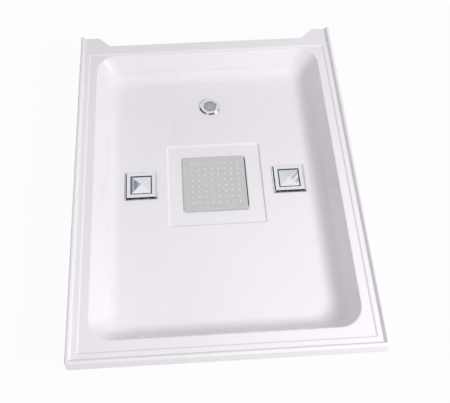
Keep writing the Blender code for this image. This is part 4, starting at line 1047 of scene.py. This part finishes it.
def eased_path(places):
    """A path whose inner corners are rounded."""
    places = [Vector(place) for place in places]
    result = [places[0]]
    for before, here, after in zip(places, places[1:], places[2:]):
        start = here + (before - here).normalized() * CLIP_EASE
        end = here + (after - here).normalized() * CLIP_EASE
        for step in range(CLIP_EASE_STEPS + 1):
            share = step / CLIP_EASE_STEPS
            result.append(start * (1 - share) ** 2 + here * 2 * share * (1 - share) + end * share ** 2)
    return result + places[-1:]


# Behind the rain head
def make_head_back():
    """The back plate with its threaded inlet stem, bored through."""
    low, top = levels("head_back")
    root = STEM_RADIUS - THREAD_DEPTH
    inside = top - HEAD_BACK_THICK / 2
    profile = [(STEM_BORE, low), (root - NUT_EASE, low), (root, low + NUT_EASE)]
    profile += thread_profile(STEM_RADIUS, low + NUT_EASE, RECESS_Z - SHEET + THREAD_PITCH)
    profile += [(STEM_RADIUS, RECESS_Z), (STEM_RADIUS, inside), (STEM_BORE, inside)]
    plate = square_plate("head_back", top - HEAD_BACK_THICK, top)
    whole = combined(plate, spun(profile, HEAD_CENTRE, FINE_STEPS), "UNION")
    bore = bmesh.new()
    add_bar(bore, STEM_BORE, low - SHEET, top + SHEET, HEAD_CENTRE, FINE_STEPS)
    add_piece("back_plate", combined(whole, bore), "chrome", "head_back")


def add_nut(name, node, rows):
    add_piece(name, turned(rows, HEAD_CENTRE), "brass", node, sharp=TURNED_SHARP)


def eased_ring(inner, outer, face, low, high, ease):
    """Rows of a flat ring with its four edges eased; face is the outer reach of its two faces."""
    return [(inner + ease, low), (face, low), (outer, low + ease), (outer, high - ease), (face, high),
            (inner + ease, high), (inner, high - ease), (inner, low + ease)]


def add_washer(name, node, inner, finish, ease, centre=HEAD_CENTRE):
    outer = half_width(node)
    profile = eased_ring(inner, outer, outer - ease, *levels(node), ease)
    add_piece(name, spun(profile, centre, FINE_STEPS), finish, node)


def make_elbow():
    """The hose elbow: a collar, a quarter bend and a tail with three barbs, bored through."""
    top = levels("hose_elbow")[1]
    collar = top - ELBOW_COLLAR
    low = collar - UNION_LIP - ELBOW_DROP
    level = low - ELBOW_BEND
    start = ELBOW_BEND + ELBOW_DROP
    end = start + TAIL_LENGTH
    bend = arc_points((ELBOW_BEND, low), ELBOW_BEND, 180, 270, ELBOW_STEPS)
    neck = [(top, ELBOW_COLLAR_RADIUS - NUT_EASE), (top - NUT_EASE, ELBOW_COLLAR_RADIUS),
            (collar, ELBOW_COLLAR_RADIUS), (collar - ELBOW_STEP, ELBOW_RADIUS)]
    tail = [(start, ELBOW_RADIUS), (start + ELBOW_STEP, TAIL_RADIUS)]
    barb = (TAIL_LENGTH - ELBOW_STEP) / (BARBS + 1)
    for index in range(BARBS):
        foot = start + ELBOW_STEP + barb * (index + 0.5)
        tail += [(foot, TAIL_RADIUS), (foot + ELBOW_STEP, BARB_RADIUS), (foot + 2 * ELBOW_STEP, BARB_RADIUS),
                 (foot + barb * BARB_SHARE, TAIL_RADIUS)]
    tail += [(end - ELBOW_STEP, TAIL_RADIUS), (end, TAIL_RADIUS - ELBOW_STEP)]

    def rings(upright, bend_radius, level_part):
        """Rings from rows of (height, radius), through the bend, to rows of (reach, radius)."""
        path = [((0.0, 0.0, height), radius) for height, radius in upright]
        path += [((0.0, along, height), bend_radius) for along, height in bend]
        path += [((0.0, along, level), radius) for along, radius in level_part]
        return bar_rings(path, (1.0, 0.0, 0.0), ELBOW_SIDES)

    outer = rings(neck, ELBOW_RADIUS, tail)
    inner = rings([(top, ELBOW_BORE)], ELBOW_BORE, [(end, ELBOW_BORE)])
    elbow = moved(closed_loft(outer + inner[::-1]), at(HEAD_CENTRE))
    add_piece("barbed_elbow", elbow, "brass", "hose_elbow")


def make_inlet():
    """What holds the rain head through the sheet and brings the water to it."""
    make_head_back()
    thread = STEM_RADIUS + THREAD_PLAY
    neck = ELBOW_RADIUS + THREAD_PLAY
    add_washer("inlet_seal", "inlet_rubber_washer", thread, "black_rubber", SEAL_EASE)
    add_washer("inlet_washer", "inlet_steel_washer", thread, "zinc_steel", WASHER_EASE)
    add_nut("lock_nut", "inlet_lock_nut", hex_rows(LOCK_NUT_FLATS, *levels("inlet_lock_nut"), thread))
    add_washer("hose_seal", "hose_washer", ELBOW_BORE, "black_rubber", HOSE_SEAL_EASE)
    make_elbow()
    low, high = levels("hose_union_nut")
    shelf = low + UNION_LIP
    add_nut("union_nut", "hose_union_nut", hex_rows(UNION_FLATS, low, high, neck)[:-2] + [
        (thread + NUT_EASE, high), (thread, high - NUT_EASE), (thread, shelf), (neck, shelf)])


# Behind the lamps: bodies round the vertical through the origin, heights above the dome floor
def gland_body(inside, under):
    """A cable gland: stub through the wall, hexagon, and a fluted cap with a round nose."""
    seat = under - CLEAR
    hex_low = seat - GLAND_HEX_HEIGHT
    nose = hex_low - GLAND_CAP_HEIGHT
    wide, narrow = [hexagon(GLAND_HEX_REACH * math.sqrt(3), GLAND_HEX_REACH - turned_off)
                    for turned_off in (0.0, GLAND_TURNED)]
    cap = scalloped(GLAND_CAP, GLAND_FLUTE)
    rows = [(GLAND_STUB, inside), (GLAND_STUB, seat), (narrow, seat), (wide, seat - GLAND_TURNED),
            (wide, hex_low + GLAND_TURNED), (narrow, hex_low), (GLAND_CAP - GLAND_TURNED, hex_low),
            (cap, hex_low - GLAND_TURNED), (cap, nose + GLAND_NOSE)]
    for step in range(1, NOSE_STEPS + 1):
        turn = math.pi / 2 * step / NOSE_STEPS
        reach = scalloped(GLAND_CAP - GLAND_NOSE * (1 - math.cos(turn)), GLAND_FLUTE * math.cos(turn))
        rows.append((reach, nose + GLAND_NOSE * (1 - math.sin(turn))))
    rows += [(GLAND_BORE + GLAND_TURNED, nose), (GLAND_BORE, nose + GLAND_TURNED), (GLAND_BORE, inside)]
    return turned(rows)


def can_body():
    """A pressed can with three shallow grooves, under a square flange with holes for the screws."""
    wall = CAN_RADIUS - CAN_WALL
    floor = CAN_END + CAN_FLOOR
    foot = CAN_END + CAN_FOOT_RISE
    rows = [(GLAND_HOLE, floor), (CAN_FOOT - CAN_WALL, floor), (wall, foot + CAN_WALL), (wall, CAN_TOP),
            (CAN_FLANGE, CAN_TOP), (CAN_FLANGE, BEZEL_BASE), (CAN_RADIUS, BEZEL_BASE)]
    rounds = [*CAN_ROUNDS]
    for groove in CAN_GROOVES:
        rows += [(CAN_RADIUS, groove + CAN_GROOVE), (CAN_RADIUS - CAN_GROOVE / 2, groove),
                 (CAN_RADIUS, groove - CAN_GROOVE)]
        rounds += [CAN_GROOVE_ROUND] * 3
    rows += [(CAN_RADIUS, foot), (CAN_FOOT, CAN_END), (GLAND_HOLE, CAN_END)]
    rounds += CAN_FOOT_ROUNDS
    rows = [(half, CAN_CORNER if half == CAN_FLANGE else half * ROUND_SHARE, height)
            for half, height in rows]
    holes = bmesh.new()
    for place in SCREW_PLACES:
        add_bar(holes, SCREW_RADIUS + CLEAR, BEZEL_BASE - CAN_WALL, CAN_TOP + CAN_WALL, place, HOLE_SIDES)
    for way in (-1, 1):
        add_cross_bar(holes, RIVET_RADIUS + CLEAR, 4 * CAN_WALL,
                      (0.0, way * (CAN_RADIUS - CAN_WALL / 2), RIVET_LEVEL), HOLE_SIDES)
    return combined(closed_loft(square_rings(rows, rounds)), holes)


def reflector_body():
    """The spun cone that throws the light into the crystal."""
    rim = CAN_RADIUS - CAN_WALL - CLEAR
    top = CAN_TOP - CLEAR
    lip = top - REFLECTOR_RIM
    foot = CAN_END + CAN_FLOOR + BOARD_THICK + 2 * CLEAR
    outer = [(rim, top)]
    inner = [(rim - REFLECTOR_WALL, top)]
    for step in range(REFLECTOR_STEPS + 1):
        share = step / REFLECTOR_STEPS
        bow = REFLECTOR_BOW * math.sin(math.pi * share)
        for rows, radius, level, throat in (
                (outer, rim, lip, REFLECTOR_THROAT + REFLECTOR_WALL),
                (inner, rim - REFLECTOR_WALL, lip + REFLECTOR_WALL, REFLECTOR_THROAT)):
            rows.append((radius + (throat - radius) * share + bow, level + (foot - level) * share))
    return spun(outer + inner[::-1])


def screw_body():
    """A pan-head screw, head down, with a cross in its head and a threaded shank."""
    under = BEZEL_BASE - CLEAR
    face = under - SCREW_HEAD_HEIGHT
    tip = CAN_TOP + SCREW_REACH
    core = SCREW_RADIUS - SCREW_THREAD
    flank = SCREW_PITCH * SCREW_FLANK
    profile = [(0.0, tip), (core * SCREW_POINT, tip)]
    for turn in range(int((tip - CAN_TOP) / SCREW_PITCH)):
        crest = tip - SCREW_PITCH * (turn + 0.5)
        profile += [(core, crest + flank), (SCREW_RADIUS, crest), (core, crest - flank)]
    profile += [(SCREW_RADIUS, BEZEL_BASE), (SCREW_RADIUS, under), (SCREW_HEAD, under)]
    profile += arc_points((SCREW_HEAD - SCREW_HEAD_ROUND, face + SCREW_HEAD_ROUND), SCREW_HEAD_ROUND, 0, -90,
                          SCREW_HEAD_STEPS)
    profile.append((0.0, face))
    screw = spun(profile, steps=SCREW_SIDES, closed=False)
    for across, along in ((SCREW_CROSS, SCREW_SLOT), (SCREW_SLOT, SCREW_CROSS)):
        slot = bmesh.new()
        bmesh.ops.create_cube(slot, size=1.0)
        bmesh.ops.scale(slot, verts=slot.verts, vec=(across, along, SCREW_CROSS_DEPTH))
        screw = combined(screw, moved(slot, at(height=face)))
    return screw


def bracket_body():
    """A bent channel: round ears, a hole for the pin through both, and the rivet in its back."""
    back = CAN_RADIUS + CLEAR
    web = back + BRACKET_SHEET
    nose = PIN_REACH + BRACKET_NOSE
    inside = COIL_SIDE + WIRE_RADIUS + BRACKET_PLAY
    side = inside + BRACKET_SHEET
    low, high = PIN_LEVEL - BRACKET_BELOW, PIN_LEVEL + BRACKET_ABOVE
    outline = [(back, -side), (nose, -side), (nose, -inside), (web, -inside), (web, inside), (nose, inside),
               (nose, side), (back, side)]
    bm = bmesh.new()
    face = bm.faces.new([bm.verts.new((x, y, low)) for x, y in outline])
    grown = bmesh.ops.extrude_face_region(bm, geom=[face])["geom"]
    bmesh.ops.translate(bm, verts=[item for item in grown if isinstance(item, bmesh.types.BMVert)],
                        vec=(0.0, 0.0, high - low))
    tidy(bm, WELD)
    for place, upright, offset, steps in ((back, True, BRACKET_OUTER_BEND, BRACKET_BEND_STEPS),
                                          (web, True, BRACKET_INNER_BEND, BRACKET_BEND_STEPS),
                                          (nose, False, BRACKET_NOSE, BRACKET_NOSE_STEPS)):
        edges = [edge for edge in bm.edges
                 if max(abs(vert.co.x - place) for vert in edge.verts) < WELD
                 and (abs(edge.verts[0].co.z - edge.verts[1].co.z) > BRACKET_SHEET) == upright]
        bevel(bm, edges, offset, steps)
    hole = bmesh.new()
    add_cross_bar(hole, PIN_RADIUS + CLEAR, 4 * side, (PIN_REACH, 0.0, PIN_LEVEL), SCREW_SIDES)
    inner = CAN_RADIUS - CAN_WALL - RIVET_PLAY
    clinch = web - BRACKET_SHEET / 2
    head = [(0.0, RIVET_HEAD_THICK), (RIVET_HEAD * RIVET_HEAD_FACE, RIVET_HEAD_THICK),
            (RIVET_HEAD * RIVET_HEAD_SIDE, RIVET_HEAD_THICK / 2), (RIVET_HEAD, 0.0)]
    profile = [(radius, web + rise) for radius, rise in head]
    profile += [(RIVET_HEAD, clinch), (RIVET_RADIUS, clinch), (RIVET_RADIUS, inner)]
    profile += [(radius, inner - rise) for radius, rise in head[::-1]]
    rivet = moved(spun(profile, steps=SCREW_SIDES, closed=False), LIE_ALONG_X, at(height=RIVET_LEVEL))
    return combined(combined(bm, hole), rivet, "UNION")


def pin_body():
    """The headed pin across the bracket."""
    start = COIL_SIDE + WIRE_RADIUS + BRACKET_PLAY + BRACKET_SHEET + CLEAR
    end = start + PIN_HEAD_THICK
    half = [(0.0, end), (PIN_HEAD * PIN_HEAD_FACE, end), (PIN_HEAD, (start + end) / 2), (PIN_HEAD, start),
            (PIN_RADIUS, start)]
    profile = half + [(radius, -reach) for radius, reach in half[::-1]]
    return moved(spun(profile, steps=SCREW_SIDES, closed=False), LIE_ALONG_Y, AT_PIN)


def clip_body():
    """The sprung wire: two arms, two coils round the pin and the bridge between them."""
    panel = -SHEET - CLEAR - WIRE_RADIUS - PIN_LEVEL
    along, down = CLIP_TIP_BEND
    arm = [(CLIP_REACH, panel - CLIP_TIP_DROP),
           (CLIP_REACH - CLIP_TIP * along, panel - CLIP_TIP_DROP * down),
           (CLIP_REACH - CLIP_TIP, panel), (0.0, COIL_RADIUS)]
    near = eased_path([(reach, -COIL_SIDE, height) for reach, height in arm])
    for step in range(1, int(COIL_TURNS * COIL_STEPS) + 1):
        angle = math.pi / 2 + 2 * math.pi * step / COIL_STEPS
        near.append(Vector((COIL_RADIUS * math.cos(angle), -COIL_SIDE + COIL_PITCH * step / COIL_STEPS,
                            COIL_RADIUS * math.sin(angle))))
    far = [Vector((place.x, -place.y, place.z)) for place in reversed(near)]
    path = [(place, WIRE_RADIUS) for place in near + far]
    return moved(capped_loft(bar_rings(path, (0.0, 1.0, 0.0), WIRE_SIDES)), AT_PIN)


def make_lamp_fittings():
    """Makes each body once, then sets it out for both square lamps."""
    can, cone, screw, bracket = can_body(), reflector_body(), screw_body(), bracket_body()
    gland, pin, clip = gland_body(CAN_END + CAN_FLOOR - GLAND_PLAY, CAN_END), pin_body(), clip_body()

    def fit(part, bm, matrix, finish="zinc_steel", body="panel", sharp=SHARP):
        copy = moved(bm.copy(), matrix)
        return add_piece(side + "_" + part, copy, finish, side + "_lamp_" + part, body, sharp)

    for side, centre in LAMP_CENTRES.items():
        lamp = at(centre, FLOOR_Z)
        even_shading(fit("can", can, lamp, "cast_aluminium"))
        fit("gland", gland, lamp, "nylon", sharp=TURNED_SHARP)
        fit("reflector", cone, lamp, "reflector")
        for number, place in enumerate(SCREW_PLACES, start=1):
            fit("screw_" + str(number), screw, lamp @ at(place), sharp=TURNED_SHARP)
        for end, turn in (("front", -math.pi / 2), ("rear", math.pi / 2)):
            place = lamp @ Matrix.Rotation(turn, 4, "Z")
            fit("bracket_" + end, bracket, place)
            fit("pin_" + end, pin, place)
            fit("clip_" + end, clip, place, body=side + "_" + end + "_clip")
    for bm in (can, gland, cone, screw, bracket, pin, clip):
        bm.free()


def lugged(radius):
    """The reach of the round nut: a circle with six grip lugs."""
    def reach(angle):
        rise = (math.cos(RING_NUT_LUGS * angle) - LUG_START) / LUG_FLANK
        return radius + RING_NUT_LUG * min(1.0, max(0.0, rise))
    return reach


def make_round_fittings():
    """The threaded body, the rubber washer, the lugged nut and the gland behind the round lamp."""
    low, top = levels("round_lamp_body")
    flange_low = top - ROUND_FLANGE_THICK
    flange = half_width("round_lamp_body")
    root = ROUND_BODY - THREAD_DEPTH
    floor = low + ROUND_WALL
    ease = ROUND_EASE
    profile = [(flange - ease, top), (flange, top - ease), (flange, flange_low + ease),
               (flange - ease, flange_low), (ROUND_BODY, flange_low), (ROUND_BODY, FLOOR_Z - SHEET)]
    profile += thread_profile(ROUND_BODY, low + ROUND_PLAIN, FLOOR_Z - SHEET - CLEAR)[::-1]
    profile += [(root, low + 2 * ease), (root - 2 * ease, low), (GLAND_HOLE, low), (GLAND_HOLE, floor),
                (ROUND_BODY - ROUND_WALL, floor), (ROUND_BODY - ROUND_WALL, top)]
    add_piece("round_body", spun(profile, ROUND_CENTRE), "white_plastic", "round_lamp_body")
    bore = ROUND_BODY + THREAD_PLAY
    add_washer("round_washer", "round_lamp_back_washer", bore, "black_rubber", ease, ROUND_CENTRE)
    rows = eased_ring(bore, lugged(RING_NUT_RADIUS), lugged(RING_NUT_RADIUS - ease),
                      *levels("round_lamp_nut"), ease)
    add_piece("round_nut", turned(rows, ROUND_CENTRE, LUG_STEPS), "white_plastic", "round_lamp_nut")
    gland = moved(gland_body(floor - GLAND_PLAY - FLOOR_Z, low - FLOOR_Z), at(ROUND_CENTRE, FLOOR_Z))
    add_piece("round_gland", gland, "nylon", "round_lamp_gland", sharp=TURNED_SHARP)


def dress_nodes():
    """Every CAD node that still shows gets its finish."""
    slots = {row["node"]: row["material_slot"] for row in frame["record"]["subparts"]}
    for name, node in frame["nodes"].items():
        node.data.materials.clear()
        node.data.materials.append(finishes[slots[name]])


# Stage
def show_white(tree, shader, white, share, output):
    """What leaves the tree: its shader, or white for a share of the rays."""
    both = {"Fac": share, 1: shader, 2: white}
    set_inputs(tree.nodes[output], {"Surface": add_node(tree, "MixShader", "Shader", both)})


def make_floor():
    """A pale floor that keeps the shadows and shows white to the camera and in gloss."""
    bm = bmesh.new()
    bmesh.ops.create_grid(bm, x_segments=1, y_segments=1, size=FLOOR_HALF)
    floor = mesh_object("studio_floor", moved(bm, at(height=cad_bounds[0][2] - FLOOR_GAP)))
    material, tree = new_material("pale_floor", Base_Color=(FLOOR_TONE, FLOOR_TONE, FLOOR_TONE, 1.0),
                                  Roughness=FLOOR_DULL)
    share = calculate("MULTIPLY", seen_by(tree, "Is Camera Ray", "Is Glossy Ray"), FLOOR_WHITE)
    show_white(tree, tree.nodes["Principled BSDF"].outputs[0], add_node(tree, "Emission"), share,
               "Material Output")
    floor.data.materials.append(material)


def make_world():
    """A soft even sky, and white for what the camera, gloss and glass see of the background."""
    world = bpy.data.worlds.new("studio")
    bpy.context.scene.world = world
    world.use_nodes = True
    tree = world.node_tree
    sky = tree.nodes["Background"]
    set_inputs(sky, {"Color": SKY_COLOUR, "Strength": SKY_STRENGTH})
    white = add_node(tree, "Background", inputs={"Color": (1.0, 1.0, 1.0, 1.0), "Strength": 1.0})
    share = seen_by(tree, "Is Camera Ray", "Is Glossy Ray", "Is Transmission Ray")
    show_white(tree, sky.outputs[0], white, share, "World Output")


# Cards seen only by gloss and glass, which paint dark and pale reflections in metal and glass and painted
# highlights in the sheet: name, centre, what it faces (None: straight down), width, height, grey level, turn
# about its middle in degrees
CARDS = (
    ("front_card", (-0.9, -3.2, 1.28), (-0.9, 0.0, 1.28), 5.4, 1.45, 0.02),
    ("left_flange_card", (-0.42, -1.44, 1.95), None, 0.34, 0.20, 0.03),
    ("right_flange_card", (0.61, -1.44, 1.95), None, 0.34, 0.20, 0.03),
    # Dark flags beside the lamps and the ring: painted dark reflection lines on their chrome risers and cone
    ("left_flag", (-0.298, 0.03, -0.0794), (0.0, 0.03, -0.0794), 0.10, 0.0074, 0.02),
    ("right_flag", (0.142, 0.046, -0.0732), (0.5, 0.046, -0.0732), 0.10, 0.0136, 0.03),
    ("ring_flag", (-0.12, 0.28, -0.0515), (0.0, 0.28, -0.0515), 0.18, 0.063, 0.03),
    ("ring_gap_card", (-1.65, -3.1, 1.74), (-1.65, 0.0, 1.74), 1.5, 0.42, 0.80),
    ("ring_dark_card", (2.2, -2.9, 1.6), (0.0, 0.3, -0.08), 1.3, 0.60, 0.03),
    ("ring_top_card", (0.07, 1.97, 1.92), None, 0.26, 0.26, 0.76),
    ("right_card", (0.62, 0.40, 0.19), (0.0, 0.40, 0.19), 0.26, 0.34, 0.03),
    ("facet_card", (-1.55, 1.55, 1.92), None, 0.90, 0.90, 0.46),
    ("facet_dark_card", (-1.46, 1.52, 1.91), None, 0.02, 0.30, 0.30),
    ("stripe_card_1", (1.68, 1.66, 1.92), None, 0.022, 0.40, 0.62, -40.0),
    ("stripe_card_2", (1.68, 1.60, 1.92), None, 0.022, 0.40, 0.62, -40.0),
    ("stripe_card_3", (1.68, 1.54, 1.92), None, 0.022, 0.40, 0.62, -40.0),
    ("right_far_card", (0.85, 3.25, 1.92), None, 1.2, 1.4, 0.77),
    ("left_far_card", (-0.60, 3.25, 1.92), None, 1.2, 1.4, 0.86),
    ("left_top_card", (-0.41, 1.32, 1.90), None, 0.26, 0.26, 0.84),
    ("right_top_card", (0.55, 1.345, 1.90), None, 0.26, 0.31, 0.88),
    # Bright glints: painted highlights in the dome's rear corners; they light nothing
    ("left_glint", (2.11, -1.10, 0.74), (-0.33, 0.466, -0.034), 0.22, 0.30, 9.0),
    ("right_glint", (-1.09, -2.03, 0.83), (0.315, 0.476, -0.032), 0.16, 0.22, 6.0),
)
CARD_TINT = (1.0, 1.01, 1.06)


def aim(obj, place, target):
    obj.location = place
    obj.rotation_euler = (Vector(target) - Vector(place)).to_track_quat("-Z", "Y").to_euler()


def make_key():
    """One soft disc of light to the right and in front, which gloss doesn't show."""
    light = bpy.data.lights.new("key", "AREA")
    light.shape = "DISK"
    light.size = KEY_SIZE
    light.energy = KEY_ENERGY
    key = add_object("key", light)
    aim(key, KEY_PLACE, KEY_TARGET)
    key.visible_glossy = False


def add_card(name, place, target, width, height, grey, turn=0.0):
    """A dark or pale card that only gloss and glass see."""
    bm = bmesh.new()
    bmesh.ops.create_grid(bm, x_segments=1, y_segments=1, size=0.5)
    card = mesh_object(name, bm)
    aim(card, place, target or (*place[:2], 0.0))
    card.rotation_euler.rotate_axis("Z", math.radians(turn))
    card.scale = (width, height, 1.0)
    material, tree = new_material(name)
    colour = (*[grey * share for share in CARD_TINT], 1.0)
    glow = add_node(tree, "Emission", inputs={"Color": colour})
    set_inputs(tree.nodes["Material Output"], {"Surface": glow})
    material.cycles.emission_sampling = "NONE"
    card.data.materials.append(material)
    card.visible_camera = False
    card.visible_diffuse = False
    card.visible_shadow = False


def make_camera():
    camera = bpy.data.cameras.new("photo_view")
    camera.sensor_fit = "HORIZONTAL"
    camera.sensor_width = SENSOR_MM
    camera.lens = FOCAL_PIXELS * SENSOR_MM / IMAGE_WIDTH
    camera.shift_x = (IMAGE_WIDTH / 2 - CENTRE_X_PIXELS) / IMAGE_WIDTH
    camera.shift_y = (CENTRE_Y_PIXELS - IMAGE_HEIGHT / 2) / IMAGE_WIDTH
    camera.clip_start = 0.01
    camera.clip_end = 50.0
    obj = add_object("photo_view", camera)
    right, down, forward = Vector(CAMERA_RIGHT), Vector(CAMERA_DOWN), Vector(CAMERA_FORWARD)
    turn = Matrix((right, -down, -forward)).transposed().to_4x4()
    obj.matrix_world = Matrix.Translation(CAMERA_PLACE) @ turn
    bpy.context.scene.camera = obj


bpy.context.scene.view_settings.view_transform = "Standard"
make_camera()
make_world()
make_floor()
make_key()
for card in CARDS:
    add_card(*card)
dress_nodes()
make_sheet()
make_head_face()
make_nozzle_mat()
for side in LAMP_CENTRES:
    make_bezel(side)
    make_crystal(side)
make_ring()
make_lens()
make_inlet()
make_lamp_fittings()
make_round_fittings()
